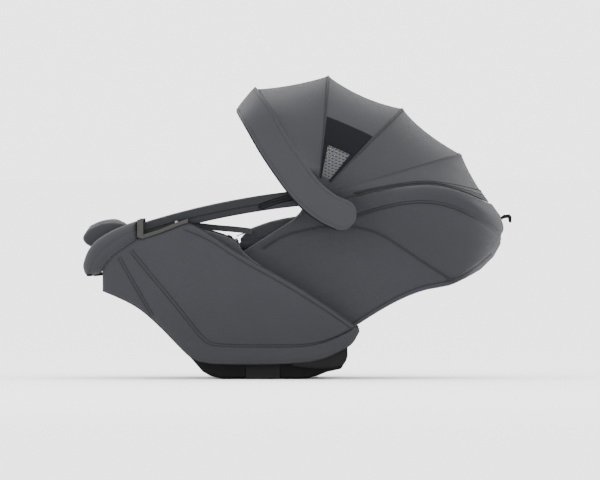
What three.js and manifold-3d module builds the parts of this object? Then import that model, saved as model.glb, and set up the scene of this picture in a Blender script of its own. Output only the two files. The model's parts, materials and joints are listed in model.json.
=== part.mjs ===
// Infant car seat with a lie-flat back, a folding canopy and a carry handle.
// Millimetres, +Z up, +X towards the child's head, the child's left side at -Y.
// The origin is the middle of the flat stretch of the base's underside.
import * as THREE from "three";
import { mergeVertices } from "three/addons/utils/BufferGeometryUtils.js";
import Module from "manifold-3d";

const wasm = await Module();
wasm.setup();

// ---------- driving dimensions ----------
const SHELL_IN = 163; // inner face of the lower side walls, from the middle
const SIDE_OUT = 206; // widest stretch of the lower side walls
const SIDE_LOW = 168; // how far the side walls reach outwards at their hem
const BACK_OUT = 160; // outer face of the back shell where it dips into the seat
const BACK_BULGE = 32; // how much wider the back shell is around the head
const BACK_WALL = 15; // thickness of the back shell's padded walls
const RAIL_IN = 180; // side rails, from the middle
const RAIL_OUT = 193;
const RAIL_ROOM = 0.8; // clearance outside a rail in its pocket
const ARM_IN = 196; // handle arms, from the middle
const ARM_THICK = 11;
const VISOR_GAP = 1.2; // between handle and its soft cover
const VISOR_THICK = 5;
const BAND = 54; // width of the handle band
const PIN_R = 5.2; // hub pins
const RECLINE = THREE.MathUtils.degToRad(24); // travel of the back shell
const GAP = 0.4; // running or seating gap between separate pieces

const hub = new THREE.Vector2(95, 350); // handle and canopy axis, (x, z)
const hinge = new THREE.Vector2(92, 86); // back shell's hinge on the lower shell
const SIDES = [["left", -1], ["right", 1]];

// ---------- materials ----------
const paint = (color, roughness = 0.9, metalness = 0) =>
  new THREE.MeshStandardMaterial({ color, roughness, metalness });
const cloth = paint(0x55565a);
const liner = paint(0x47484c);
const trim = paint(0x6d6e68, 0.6);
const black = paint(0x1b1c1e, 0.5);
const bar = paint(0x2c2e33, 0.4);
const steel = paint(0x9a9ca0, 0.3, 1);
const webbing = paint(0x232427);
const red = paint(0xb3231c, 0.4);

// ---------- helpers ----------
const root = new THREE.Group();
const add = (name, geometry, material) => {
  const mesh = new THREE.Mesh(geometry, material);
  mesh.name = name;
  root.add(mesh);
};
const at = (x, y, z) => new THREE.Vector3(x, y, z);
const smooth = (t) => THREE.MathUtils.smoothstep(t, 0, 1);
const lerp = THREE.MathUtils.lerp;

// A smooth line through (x, z) points, as `count` + 1 samples.
function line(points, count) {
  const curve = new THREE.CatmullRomCurve3(points.map(([x, z]) => at(x, 0, z)), false, "centripetal");
  return curve.getSpacedPoints(count).map((p) => new THREE.Vector2(p.x, p.z));
}

// Height of a smooth line at x, where the line runs towards +X.
function heightOf(points) {
  const samples = line(points, 120);
  return (x) => {
    const next = samples.findIndex((p) => p.x >= x);
    if (next < 0) return samples[samples.length - 1].y;
    if (next === 0) return samples[0].y;
    const [a, b] = [samples[next - 1], samples[next]];
    return lerp(a.y, b.y, (x - a.x) / (b.x - a.x));
  };
}

// A closed solid through rings of points, each ring listed out along one face and back along the other.
function loft(rings) {
  const n = rings[0].length;
  const position = rings.flat().flatMap((p) => [p.x, p.y, p.z]);
  const index = [];
  const quad = (a, b, c, d) => index.push(a, b, c, a, c, d);
  for (let i = 0; i + 1 < rings.length; i++)
    for (let j = 0; j < n; j++) {
      const k = (j + 1) % n;
      quad(i * n + j, i * n + k, (i + 1) * n + k, (i + 1) * n + j);
    }
  const last = (rings.length - 1) * n;
  for (let j = 0; j + 1 < n / 2; j++) {
    quad(n - 1 - j, n - 2 - j, j + 1, j);
    quad(last + j, last + j + 1, last + n - 2 - j, last + n - 1 - j);
  }
  return outward(new THREE.BufferGeometry()
    .setAttribute("position", new THREE.Float32BufferAttribute(position, 3))
    .setIndex(index));
}

// Turns a closed geometry's faces outwards.
function outward(geometry) {
  const p = geometry.getAttribute("position");
  const index = Array.from(geometry.index.array);
  const [a, b, c] = [at(0, 0, 0), at(0, 0, 0), at(0, 0, 0)];
  let volume = 0;
  for (let i = 0; i < index.length; i += 3) {
    a.fromBufferAttribute(p, index[i]);
    b.fromBufferAttribute(p, index[i + 1]);
    c.fromBufferAttribute(p, index[i + 2]);
    volume += a.dot(b.cross(c));
  }
  if (volume < 0)
    for (let i = 0; i < index.length; i += 3) [index[i], index[i + 1]] = [index[i + 1], index[i]];
  return geometry.setIndex(index);
}

function solid(geometry) {
  const bare = geometry.clone();
  bare.deleteAttribute("normal");
  bare.deleteAttribute("uv");
  const merged = mergeVertices(bare, 1e-3);
  return new wasm.Manifold(new wasm.Mesh({
    numProp: 3,
    vertProperties: merged.attributes.position.array,
    triVerts: new Uint32Array(merged.index.array),
  }));
}

function geometryOf(manifold) {
  const mesh = manifold.getMesh();
  return new THREE.BufferGeometry()
    .setAttribute("position", new THREE.Float32BufferAttribute(mesh.vertProperties, 3))
    .setIndex(Array.from(mesh.triVerts));
}

const cut = (geometry, ...tools) =>
  geometryOf(tools.reduce((body, tool) => body.subtract(solid(tool)), solid(geometry)));
const join = (geometry, ...others) =>
  geometryOf(others.reduce((body, other) => body.add(solid(other)), solid(geometry)));

// A prism of an (x, z) outline between two y values.
function prism(outline, y0, y1, bevel = 0) {
  const shape = new THREE.Shape(outline.map(([x, z]) => new THREE.Vector2(x, z)));
  const low = Math.min(y0, y1) + bevel;
  const high = Math.max(y0, y1) - bevel;
  const geometry = new THREE.ExtrudeGeometry(shape, {
    depth: high - low, steps: 1, curveSegments: 6,
    bevelEnabled: bevel > 0, bevelThickness: bevel, bevelSize: bevel, bevelOffset: -bevel, bevelSegments: 1,
  });
  return geometry.rotateX(Math.PI / 2).translate(0, high, 0);
}

// A cylinder along Y between two y values, centred on (x, z).
function pin(x, z, radius, y0, y1, sides = 24) {
  return new THREE.CylinderGeometry(radius, radius, Math.abs(y1 - y0), sides)
    .translate(x, (y0 + y1) / 2, z);
}

const block = (x, y, z, cx, cy, cz) => new THREE.BoxGeometry(x, y, z).translate(cx, cy, cz);

// ---------- base ----------
const BASE_TOP = 45;
const BASE_HALF = 138;
const baseOutline = [
  [-152, BASE_TOP], [-144, 36], [-125, 14], [-109, 5], [-86, 0], [72, 0], [92, 5], [112, 13], [139, 19],
  [143, 25], [150, BASE_TOP],
];
function baseTray() {
  const latchRecess = (x) => block(34, 130, 16, x, 0, 7);
  const hollow = block(210, 220, 30, -6, 0, BASE_TOP - 14);
  const plateSeat = (side) => block(66, 6, 31, -10, side * (BASE_HALF - 1), 15);
  const body = prism(baseOutline, -BASE_HALF, BASE_HALF, 5);
  const holes = [-62, 62].map((x) => pin(x, 8, 5.3, -72, 72, 12));
  return cut(body, hollow, latchRecess(-62), latchRecess(62), plateSeat(-1), plateSeat(1), ...holes);
}
add("base_tray", baseTray(), black);
for (const [name, side] of SIDES)
  add(`base_plate_${name}`, block(65, 4.5, 30, -10, side * (BASE_HALF - 1.5), 15), black);
for (const [name, x] of [["front", -62], ["rear", 62]])
  add(`latch_bar_${name}`, pin(x, 8, 5, -71, 71, 12), steel);

// ---------- lower shell ----------
const shellOutline = [
  [-336, 232], [-326, 212], [-311, 206], [-308, 180], [-277, 164], [-239, 143], [-205, 112], [-167, 68], [-150, 50],
  [-130, BASE_TOP + GAP], [138, BASE_TOP + GAP], [138, 56], [12, 56], [-40, 66], [-105, 88], [-165, 127],
  [-215, 172], [-262, 206], [-298, 232], [-300, 250], [-334, 250],
];
add("seat_shell", prism(shellOutline, -SHELL_IN + GAP, SHELL_IN - GAP), black);

// Side walls: the hem and the rim as heights over X.
const hem = heightOf([
  [-314, 169], [-295, 161], [-264, 147], [-237, 130], [-202, 97], [-171, 64], [-144, 38], [-86, 31], [-8, 30],
  [69, 33], [108, 41], [139, 56], [158, 66], [172, 92],
]);
const rimUnderHorn = heightOf([[-314, 209], [-297, 233], [-268, 252], [-249, 266], [-236, 266]]);
const rim = heightOf([[-236, 266], [-205, 277], [-172, 290], [-150, 297], [-109, 274], [-55, 237], [30, 190],
  [108, 142], [163, 104], [173, 99]]);
const wallTop = (x) => (x < -236 ? rimUnderHorn(x) : rim(x));
const wallOut = (z) => lerp(SIDE_LOW + 8, SIDE_OUT, smooth((z - 25) / 150));

function sideWall(side) {
  const stations = [-314, -305, -290, -277, -263, -249, -236, -222, -205, -186, -172, -160, -150, -135, -109, -80,
    -55, -20, 30, 70, 108, 130, 145, 160, 168, 173];
  const rings = stations.map((x) => {
    const [low, high] = [hem(x), Math.max(wallTop(x), hem(x) + 5)];
    const heights = [0, 0.2, 0.45, 0.75, 1].map((t) => lerp(low, high, t));
    return [
      ...heights.map((z) => at(x, side * wallOut(z), z)),
      ...heights.reverse().map((z) => at(x, side * SHELL_IN, z)),
    ];
  });
  return loft(rings);
}

// The pocket that a side rail slides into: open upwards and inwards, closed by the outer skin.
const POCKET_OUT = RAIL_OUT + RAIL_ROOM;
const pocketOutline = [[-322, 226], [-240, 246], [-160, 268], [-60, 300], [-60, 345], [-322, 345]];
const pocket = (side) => prism(pocketOutline, side * (SHELL_IN - 2), side * POCKET_OUT);
const AXLE_END = 172;
const axleHole = pin(hinge.x, hinge.y, 6.4, -AXLE_END - 1, AXLE_END + 1, 16);
for (const [name, side] of SIDES)
  add(`side_wall_${name}`, cut(sideWall(side), pocket(side), axleHole), cloth);

// Foot horns: the padded ends of the rim, hollow where a rail slides in.
const hornOutline = [
  [-249, 303], [-275, 296], [-298, 286], [-321, 273], [-334, 262], [-347, 241], [-351, 220], [-346, 202],
  [-330, 201.5], [-318.5, 206], [-317, 213], [-298, 238], [-268, 257], [-249, 270],
];
const hornRoom = [[-240, 299], [-262, 294], [-284, 286], [-300, 277], [-306, 262], [-306, 240], [-240, 240]];
for (const [name, side] of SIDES) {
  const room = prism(hornRoom, side * (SHELL_IN - 4), side * POCKET_OUT);
  add(`foot_horn_${name}`, cut(prism(hornOutline, side * (SHELL_IN + GAP), side * 212, 5), room), cloth);
}

// Rail mouth trim: a bridge over the rail and a strip along the outer skin.
function railTrim(side) {
  const post = prism([[-248.6, 270.5], [-248.6, 303.5], [-237, 304.5], [-237, 267]], side * (SHELL_IN + GAP), side * 208);
  const strip = prism([[-238, 267.5], [-238, 275], [-205, 285.5], [-172, 299], [-152, 306], [-152, 298.2],
    [-172, 291.5], [-205, 278.5]], side * (POCKET_OUT + 0.6), side * 207);
  const way = prism([[-260, 240], [-260, 300], [-230, 300], [-230, 240]], side * (SHELL_IN - 2), side * POCKET_OUT);
  return cut(join(post, strip), way);
}
for (const [name, side] of SIDES) add(`rail_trim_${name}`, railTrim(side), trim);

// ---------- side rails ----------
// Each rail is an arc from the foot end to the hub, slotted so that the hub pin can travel with the back.
const railArc = { x: 212, z: -1148.6, radius: 1500 };
const railAt = (x) => new THREE.Vector2(x, railArc.z + Math.sqrt(railArc.radius ** 2 - (x - railArc.x) ** 2));
const RAIL_HALF = 14.5;
function hubAt(turn) {
  return hub.clone().sub(hinge).rotateAround(new THREE.Vector2(), turn).add(hinge);
}
function railSlot(side) {
  const half = PIN_R + 0.6;
  const turns = [...Array(9).keys()].map((i) => (RECLINE * i) / 8);
  const outer = turns.map((t) => hubAt(t).sub(hinge).setLength(hub.distanceTo(hinge) + half).add(hinge));
  const inner = turns.map((t) => hubAt(t).sub(hinge).setLength(hub.distanceTo(hinge) - half).add(hinge));
  const track = [...outer, ...inner.reverse()].map((p) => [p.x, p.y]);
  const ends = [hubAt(0), hubAt(RECLINE)].map((p) => pin(p.x, p.y, half + 0.05, side * 170, side * 200, 20));
  return join(prism(track, side * 170, side * 200), ...ends);
}
function sideRail(side) {
  const rings = [];
  for (let x = -229; x <= 105; x += 334 / 20) {
    const p = railAt(x);
    const up = p.clone().sub(new THREE.Vector2(railArc.x, railArc.z)).normalize();
    const half = x < -220 ? 11 : x > 95 ? 12 : RAIL_HALF;
    const edge = 3; // chamfer along the outer edges
    const [high, h, l, low] = [half, half - edge, edge - half, -half].map((k) => p.clone().addScaledVector(up, k));
    rings.push([
      at(low.x, side * (RAIL_OUT - edge), low.y), at(l.x, side * RAIL_OUT, l.y), at(h.x, side * RAIL_OUT, h.y),
      at(high.x, side * (RAIL_OUT - edge), high.y), at(high.x, side * RAIL_IN, high.y),
      at(low.x, side * RAIL_IN, low.y),
    ]);
  }
  const eye = pin(hub.x, hub.y - 2, 16, side * RAIL_IN, side * RAIL_OUT, 28);
  return cut(join(loft(rings), eye), railSlot(side));
}
for (const [name, side] of SIDES) add(`side_rail_${name}`, sideRail(side), bar);

// ---------- back shell ----------
// How far the back shell stands out at (x, z): flat towards the seat, fuller round the head.
const creaseFrom = new THREE.Vector2(171, 298);
const creaseUp = new THREE.Vector2(98, 166).normalize();
const backOut = (x, z) => {
  const over = (x - creaseFrom.x) * creaseUp.x + (z - creaseFrom.y) * creaseUp.y;
  return BACK_OUT + BACK_BULGE * smooth((over - 30) / 75);
};
const HEAD_START = 330; // where the side walls turn into the rounded head end
const HEAD_REACH = [73, 98, 112, 114, 108, 94]; // how far the head end stands out, from its hem to its rim
const backRim = heightOf([
  [-58, 236], [11, 281], [58, 313], [76, 345], [95, 363], [114, 358], [146, 343], [204, 359], [271, 370],
  [321, 371], [370, 359], [426, 336],
]);
const backHem = heightOf([
  [-58, 226], [-40, 196], [-25, 150], [0, 112], [30, 85], [60, 71], [92, 66], [120, 74], [169, 103], [201, 124],
  [246, 150], [292, 169], [325, 175], [358, 181], [404, 206],
]);

function backWall(side) {
  const stations = [-58, -40, -25, 0, 30, 60, 76, 95, 114, 130, 146, 169, 200, 230, 260, 295, HEAD_START - GAP];
  const rings = stations.map((x) => {
    const heights = [0, 0.25, 0.5, 0.75, 1].map((t) => lerp(backHem(x), backRim(x), t));
    return [
      ...heights.map((z) => at(x, side * backOut(x, z), z)),
      ...heights.reverse().map((z) => at(x, side * (backOut(x, z) - BACK_WALL), z)),
    ];
  });
  return loft(rings);
}

// Plan of the head end: `turn` runs from the left wall round to the right one.
const headForward = (turn) => Math.sin(turn) ** 0.75;
const headAcross = (turn) => -Math.sign(Math.cos(turn)) * Math.abs(Math.cos(turn)) ** 0.75;
function headPoint(turn, k, inset) {
  const t = k / (HEAD_REACH.length - 1);
  const low = backHem(HEAD_START + HEAD_REACH[0] * headForward(turn));
  const high = backRim(HEAD_START + HEAD_REACH[5] * headForward(turn));
  const z = lerp(low, high, t);
  const x = HEAD_START + (HEAD_REACH[k] - inset) * headForward(turn);
  return at(x, headAcross(turn) * (backOut(x, z) - inset), z);
}
function headWall() {
  const rings = [];
  for (let i = 0; i <= 14; i++) {
    const turn = Math.max(0, Math.min(Math.PI, (Math.PI * i) / 14));
    const ks = [0, 1, 2, 3, 4, 5];
    rings.push([...ks.map((k) => headPoint(turn, k, 0)), ...ks.reverse().map((k) => headPoint(turn, k, BACK_WALL))]);
  }
  return loft(rings);
}
const pinHole = (y) => pin(hub.x, hub.y, PIN_R + 0.3, -y, y);
for (const [name, side] of SIDES)
  add(`back_wall_${name}`, cut(backWall(side), pinHole(220), pin(hinge.x, hinge.y, 6.4, -220, 220, 16)), cloth);
add("head_wall", headWall(), cloth);

// The back panel under the child, between the walls and round the head end.
const PANEL = 14;
const panelLow = (x) => backHem(x) + 5;
function panelHalf(x) {
  const reach = HEAD_REACH[0] - BACK_WALL - GAP - 4;
  const forward = Math.max(0, (x - HEAD_START) / reach) ** (1 / 0.75);
  return (backOut(x, panelLow(x)) - BACK_WALL - GAP - 0.6) * Math.max(0.05, 1 - forward ** 2) ** 0.375;
}
function backPanel() {
  const stations = [112, 130, 169, 201, 230, 260, 292, 325, 345, 362, 374, 384];
  return loft(stations.map((x) => {
    const across = [-1, -0.5, 0, 0.5, 1];
    return [
      ...across.map((t) => at(x, t * panelHalf(x), panelLow(x))),
      ...across.reverse().map((t) => at(x, t * panelHalf(x), panelLow(x) + PANEL)),
    ];
  }));
}
add("back_panel", backPanel(), black);
add("recline_axle", pin(hinge.x, hinge.y, 6, -AXLE_END, AXLE_END, 16), steel);
for (const [name, side] of SIDES)
  add(`hub_pin_${name}`, pin(hub.x, hub.y, PIN_R, side * (BACK_OUT - BACK_WALL + 1), side * (ARM_IN + ARM_THICK - 1)), steel);

// ---------- carry handle ----------
// Each station gives the middle of the band, its width direction in the x-z plane and its share of the width.
const ARM_MID = ARM_IN + ARM_THICK / 2;
const armLine = [[141, 313], [113, 325], [81, 350], [52, 386], [14, 441], [-8, 480]];
const bandTop = new THREE.Vector2(-35, 528);
function handleStations() {
  const stations = [];
  const arm = line(armLine, 14);
  const tail = arm[0].clone().sub(arm[1]).normalize();
  for (const degrees of [80, 60, 40, 20]) {
    const a = THREE.MathUtils.degToRad(degrees);
    const p = arm[0].clone().addScaledVector(tail, (BAND / 2) * Math.sin(a));
    stations.push({ x: p.x, y: -ARM_MID, z: p.y, w: [-tail.y, tail.x], share: Math.cos(a) });
  }
  arm.forEach((p, i) => {
    const along = arm[Math.min(i + 1, 14)].clone().sub(arm[Math.max(i - 1, 0)]).normalize();
    stations.push({ x: p.x, y: -ARM_MID, z: p.y, w: [along.y, -along.x], share: 1 });
  });
  const last = stations[stations.length - 1];
  const STEPS = 8;
  for (let i = 1; i <= STEPS; i++) {
    const a = (i / STEPS) * (Math.PI / 2);
    const up = Math.sin(a) ** 0.8;
    const w = new THREE.Vector2(lerp(last.w[0], 0.634, up), lerp(last.w[1], 0.773, up)).normalize();
    stations.push({
      x: lerp(last.x, bandTop.x, up), y: -ARM_MID * Math.cos(a) ** 0.8, z: lerp(last.z, bandTop.y, up),
      w: [w.x, w.y], share: 1,
    });
  }
  stations[stations.length - 1].y = 0;
  return [...stations, ...stations.slice(0, -1).reverse().map((s) => ({ ...s, y: -s.y }))];
}

// A band that follows the handle, starting `lift` outwards of its middle surface, `thick` thick.
function handleBand(width, lift, thick, from = 0, to = undefined) {
  const stations = handleStations();
  const rings = stations.map((s, i) => {
    const [a, b] = [stations[Math.max(i - 1, 0)], stations[Math.min(i + 1, stations.length - 1)]];
    const wide = at(s.w[0], 0, s.w[1]);
    const out = at(b.x - a.x, b.y - a.y, b.z - a.z).cross(wide).normalize();
    if (out.dot(at(s.x - 40, s.y, s.z - 400)) < 0) out.negate();
    const point = (across, high) =>
      at(s.x, s.y, s.z).addScaledVector(wide, across * (width / 2) * s.share).addScaledVector(out, high);
    return [
      point(-1, lift), point(-0.5, lift), point(0.5, lift), point(1, lift),
      point(1, lift + thick), point(0.5, lift + thick), point(-0.5, lift + thick), point(-1, lift + thick),
    ];
  });
  return loft(rings.slice(from, to));
}
const BUTTON_R = 11;
const buttonAt = new THREE.Vector2(130, 318);
const buttonHole = (side) => pin(buttonAt.x, buttonAt.y, BUTTON_R + 0.5, side * (ARM_IN - 3), side * (ARM_IN + 8));
const carryHandle = cut(handleBand(BAND - 6, -ARM_THICK / 2, ARM_THICK), pinHole(ARM_IN + ARM_THICK - 0.6),
  buttonHole(-1), buttonHole(1));
add("carry_handle", carryHandle, black);
add("handle_cover", handleBand(BAND + 4, ARM_THICK / 2 + VISOR_GAP, VISOR_THICK), cloth);
for (const [name, side] of SIDES)
  add(`handle_button_${name}`, pin(buttonAt.x, buttonAt.y, BUTTON_R, side * (ARM_IN - 3.6), side * (ARM_IN + 4)), black);

// ---------- canopy ----------
// A hoop stands at an angle about the hub axis, with its own height and half width.
const hoops = [
  { name: "front", angle: 85, radius: 224, half: 171, level: 170.8 },
  { name: "middle", angle: 45.4, radius: 227, half: 171, level: 166.8 },
  { name: "rear", angle: 15.6, radius: 281, half: 171, level: 162.8 },
];
const HOOP_POWER = 0.78;
const STRAIGHT = 0.42; // share of a hoop's height that is nearly straight
function hoopAt(hoop, t, lift = 0) {
  // t runs from 0 at the left pivot to 1 at the right one.
  const side = t < 0.5 ? -1 : 1;
  const u = 1 - Math.abs(2 * t - 1); // 0 at a pivot, 1 at the top
  const a = THREE.MathUtils.degToRad(hoop.angle);
  const legShare = 0.38;
  let r, y;
  if (u < legShare) {
    const k = u / legShare;
    r = hoop.radius * STRAIGHT * k;
    y = lerp(hoop.level, hoop.half, smooth((k - 0.36) / 0.64)) + lift;
  } else {
    const phi = ((u - legShare) / (1 - legShare)) * (Math.PI / 2);
    r = hoop.radius * (STRAIGHT + (1 - STRAIGHT) * Math.sin(phi) ** HOOP_POWER) + lift * Math.sin(phi);
    y = hoop.half * Math.cos(phi) ** HOOP_POWER + lift * Math.cos(phi);
  }
  return at(hub.x + r * Math.cos(a), side * y, hub.y + r * Math.sin(a));
}

const HOOP_R = 2;
function canopyHoop(hoop) {
  const a = THREE.MathUtils.degToRad(hoop.angle);
  const across = at(-Math.sin(a), 0, Math.cos(a)); // square to the hoop's plane
  const steps = 44;
  const first = 2;
  const rings = [];
  for (let i = first; i <= steps - first; i++) {
    const [p, before, after] = [i, i - 1, i + 1].map((k) => hoopAt(hoop, k / steps));
    const along = after.sub(before).normalize();
    const up = along.clone().cross(across).normalize();
    const ring = [];
    for (let k = 0; k < 6; k++) {
      const turn = (k / 6) * Math.PI * 2;
      ring.push(p.clone().addScaledVector(across, HOOP_R * Math.cos(turn)).addScaledVector(up, HOOP_R * Math.sin(turn)));
    }
    rings.push(ring);
  }
  const eyes = [-1, 1].map((side) => {
    const reach = hoopAt(hoop, first / steps + 0.02).sub(at(hub.x, 0, hub.y));
    const tip = [hub.x + reach.x, hub.y + reach.z];
    const w = 4;
    const tongue = prism([
      [hub.x - across.x * w, hub.y - across.z * w], [tip[0] - across.x * w, tip[1] - across.z * w],
      [tip[0] + across.x * w, tip[1] + across.z * w], [hub.x + across.x * w, hub.y + across.z * w],
    ], side * (hoop.level - 1.6), side * (hoop.level + 1.6));
    return join(pin(hub.x, hub.y, 14, side * (hoop.level - 1.6), side * (hoop.level + 1.6), 20), tongue);
  });
  return cut(join(loft(rings), ...eyes), pinHole(178));
}
for (const hoop of hoops) add(`canopy_hoop_${hoop.name}`, canopyHoop(hoop), black);

// Canopy cloth between two edges, each a function of t, sagging a little in the middle.
const CLOTH = 2.2;
function clothPanel(edgeA, edgeB, from, to, sag) {
  const rings = [];
  const steps = 26;
  for (let i = 0; i <= steps; i++) {
    const t = lerp(from, to, i / steps);
    const [a, b] = [edgeA(t, 0), edgeB(t, 0)];
    const [a2, b2] = [edgeA(t, CLOTH), edgeB(t, CLOTH)];
    const shares = [0.012, 0.33, 0.67, 0.988];
    const centre = at(hub.x, 0, hub.y);
    const pull = (p, k) => {
      const dip = sag * Math.sin(Math.PI * k) * Math.sin(Math.PI * t);
      return p.addScaledVector(at(p.x - centre.x, 0, p.z - centre.z).normalize(), -dip);
    };
    rings.push([
      ...shares.map((k) => pull(a.clone().lerp(b, k), k)),
      ...shares.reverse().map((k) => pull(a2.clone().lerp(b2, k), k)),
    ]);
  }
  return loft(rings);
}
const overHoop = (hoop) => (t, lift) => hoopAt(hoop, t, HOOP_R + 1.8 + lift);
const coverEdge = (t, lift) => hoopAt({ angle: 116.5, radius: 228, half: 184, level: 176 }, t, lift);
// Top of the collar, round the head end.
function collarEdge(t, lift) {
  const u = 1 - Math.abs(2 * t - 1);
  const side = t < 0.5 ? -1 : 1;
  const inset = 6;
  if (u < 0.5) {
    const x = lerp(70, HEAD_START, u / 0.5);
    return at(x, side * (backOut(x, backRim(x)) - inset), backRim(x) + 0.8 + lift);
  }
  const turn = ((u - 0.5) / 0.5) * (Math.PI / 2);
  const p = headPoint(turn, 5, inset);
  return at(p.x, side * Math.abs(p.y), p.z + 0.8 + lift);
}
const [front, middle, rear] = hoops.map(overHoop);
const topPanel = clothPanel(front, middle, 0.1, 0.9, 10);
const windowOutline = [[114, 494], [193, 451], [124, 386], [113, 389]];
const meshOutline = [[113.6, 440], [153, 420.5], [124, 387], [113.6, 390]];
const blindOutline = [[114.4, 493], [192, 451], [154, 421.5], [113.8, 441.5]];
const windowPart = (outline, side) => geometryOf(solid(topPanel).intersect(solid(prism(outline, 0, side * 190))));
add("canopy_panel_front", clothPanel(coverEdge, front, 0.1, 0.9, 4), cloth);
add("canopy_panel_top", cut(topPanel, prism(windowOutline, -190, 190)), cloth);
add("canopy_panel_back", clothPanel(middle, rear, 0.1, 0.9, 8), cloth);
add("canopy_panel_neck", clothPanel(rear, collarEdge, 0.1, 0.9, 4), cloth);
for (const [name, side] of SIDES) {
  add(`window_mesh_${name}`, windowPart(meshOutline, side), webbing);
  add(`window_blind_${name}`, windowPart(blindOutline, side), webbing);
}

// ---------- padding ----------
function pad(points, thick, half, rise = 0) {
  const middle = line(points, 12);
  return loft(middle.map((p, i) => {
    const ends = Math.sin(Math.PI * Math.min(1, Math.max(0, i / 12)));
    const h = thick * (0.55 + 0.45 * ends);
    const across = [-1, -0.6, 0, 0.6, 1];
    return [
      ...across.map((t) => at(p.x, t * half, p.y + Math.abs(t) ** 3 * rise * 0.5)),
      ...across.reverse().map((t) => at(p.x, t * half, p.y + h * (1 - 0.35 * t * t) + Math.abs(t) ** 3 * rise)),
    ];
  }));
}
add("leg_pad", pad([[-270, 217], [-240, 193.5], [-215, 175.5], [-165, 131], [-128, 105]], 24, 136, 6), liner);
add("seat_cushion", pad([[-112, 93], [-80, 81.5], [-40, 68], [0, 60], [32, 57.5]], 40, 138, 8), liner);
add("back_cushion", pad([[64, 112], [112, 93.6], [130, 101.5], [169, 123], [201, 144], [246, 170], [292, 189],
  [325, 195], [362, 203]], 14, 128, 4), liner);
const rollOutline = [
  [-262, 282], [-272, 298], [-297, 301], [-321, 297], [-344, 286], [-356, 271], [-352, 258], [-340, 251.5],
  [-300, 251.5], [-272, 262],
];
add("foot_roll", prism(rollOutline, -162, 162, 4), cloth);
const bolsterOutline = [
  [-49, 244], [-51, 266], [-32, 288], [-3, 300], [27, 307], [60, 312], [110, 318], [160, 322], [205, 318],
  [218, 300], [205, 276], [150, 266], [60, 262], [0, 246],
];
for (const [name, side] of SIDES)
  add(`side_bolster_${name}`, prism(bolsterOutline, side * 112, side * (BACK_OUT - BACK_WALL - GAP), 5), liner);

// ---------- headrest ----------
// It slides on the straight stretch of the back, in the direction of `slope`.
const slope = THREE.MathUtils.degToRad(17.6);
function headrest(lift, thick, half, wing, x0, x1) {
  return loft([...Array(7).keys()].map((i) => {
    const x = lerp(x0, x1, i / 6);
    const z = 168 + (x - 246) * Math.tan(slope) + lift;
    const across = [-1, -0.82, -0.5, 0, 0.5, 0.82, 1];
    const up = (t) => Math.max(0, Math.abs(t) - 0.45) ** 1.5 * wing;
    const point = (t, w, high) => at(x - (up(t) + high) * Math.sin(slope), t * w, z + (up(t) + high) * Math.cos(slope));
    return [
      ...across.map((t) => point(t, half, 0)),
      ...across.reverse().map((t) => point(t, half - thick * 0.75, thick)),
    ];
  }));
}
add("headrest_shell", headrest(28, 6, 136, 180, 262, 352), black);
add("headrest_pad", headrest(38, 15, 129, 180, 256, 346), liner);

// ---------- harness ----------
const strapPath = (side) => [
  [238, side * 42, 190], [225, side * 43, 226], [188, side * 44, 262], [120, side * 42, 283], [40, side * 33, 291],
  [-25, side * 22, 285], [-58, side * 15, 272],
];
function strap(points, width, thick, count = 10) {
  const curve = new THREE.CatmullRomCurve3(points.map((p) => at(...p)), false, "centripetal");
  const steps = curve.getSpacedPoints(count);
  return loft(steps.map((p, i) => {
    const along = steps[Math.min(i + 1, count)].clone().sub(steps[Math.max(i - 1, 0)]).normalize();
    const up = along.clone().cross(at(0, 1, 0)).normalize();
    const wide = up.clone().cross(along).normalize();
    const point = (s, t) => p.clone().addScaledVector(wide, (s * width) / 2).addScaledVector(up, (t * thick) / 2);
    return [point(-1, -1), point(1, -1), point(1, 1), point(-1, 1)];
  }));
}
for (const [name, side] of SIDES) {
  add(`shoulder_strap_${name}`, strap(strapPath(side), 25, 1.8, 14), webbing);
  add(`shoulder_pad_${name}`, strap([[183, side * 45, 273], [120, side * 43, 291], [60, side * 36, 298]], 46, 9, 6),
    liner);
  add(`hip_strap_${name}`, strap([[-24, side * 100, 116], [-46, side * 88, 190], [-62, side * 44, 243],
    [-67, side * 31, 251]], 25, 1.8, 8), webbing);
  add(`harness_tongue_${name}`, prism([[-60, 268], [-66, 264.5], [-62, 257.5], [-56, 261]], side * 3, side * 22), steel);
}
// A flat key lying on the line from a to b, `out` above it and `deep` below it.
function key([ax, az], [bx, bz], out, deep, half, room = 0) {
  const along = new THREE.Vector2(bx - ax, bz - az).normalize();
  const point = (x, z, s, t) => [x + along.x * s - along.y * t, z + along.y * s + along.x * t];
  return prism([point(ax, az, -room, -deep), point(bx, bz, room, -deep), point(bx, bz, room, out),
    point(ax, az, -room, out)], -half - room, half + room);
}
const buckleOutline = [[-112, 240], [-108, 254], [-98, 264], [-76, 274], [-69, 271], [-64, 256], [-86, 245]];
const [buckleA, buckleB] = [[-95.6, 265.1], [-80, 272.2]];
add("buckle_body", cut(prism(buckleOutline, -27, 27, 2.5), key(buckleA, buckleB, 5, 6, 11, 0.5)), black);
add("buckle_button", key(buckleA, buckleB, 2.4, 3.4, 11), red);
add("crotch_strap", strap([[-117, 0, 241], [-125, 0, 216], [-123, 0, 170], [-120, 0, 114]], 38, 2, 8), webbing);
const adjusterOutline = [[-196, 186], [-170, 162.5], [-163, 169], [-189, 193]];
const [adjusterA, adjusterB] = [[-184, 188.4], [-170, 175.5]];
add("adjuster_housing", cut(prism(adjusterOutline, -22, 22, 1.5), key(adjusterA, adjusterB, 5, 5, 9, 0.5)), black);
add("adjuster_button", key(adjusterA, adjusterB, 2.2, 3, 9), red);
add("adjuster_strap", strap([[-198, 0, 192], [-218, 0, 209], [-240, 0, 226], [-258, 0, 238]], 25, 1.8, 6), webbing);

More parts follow.
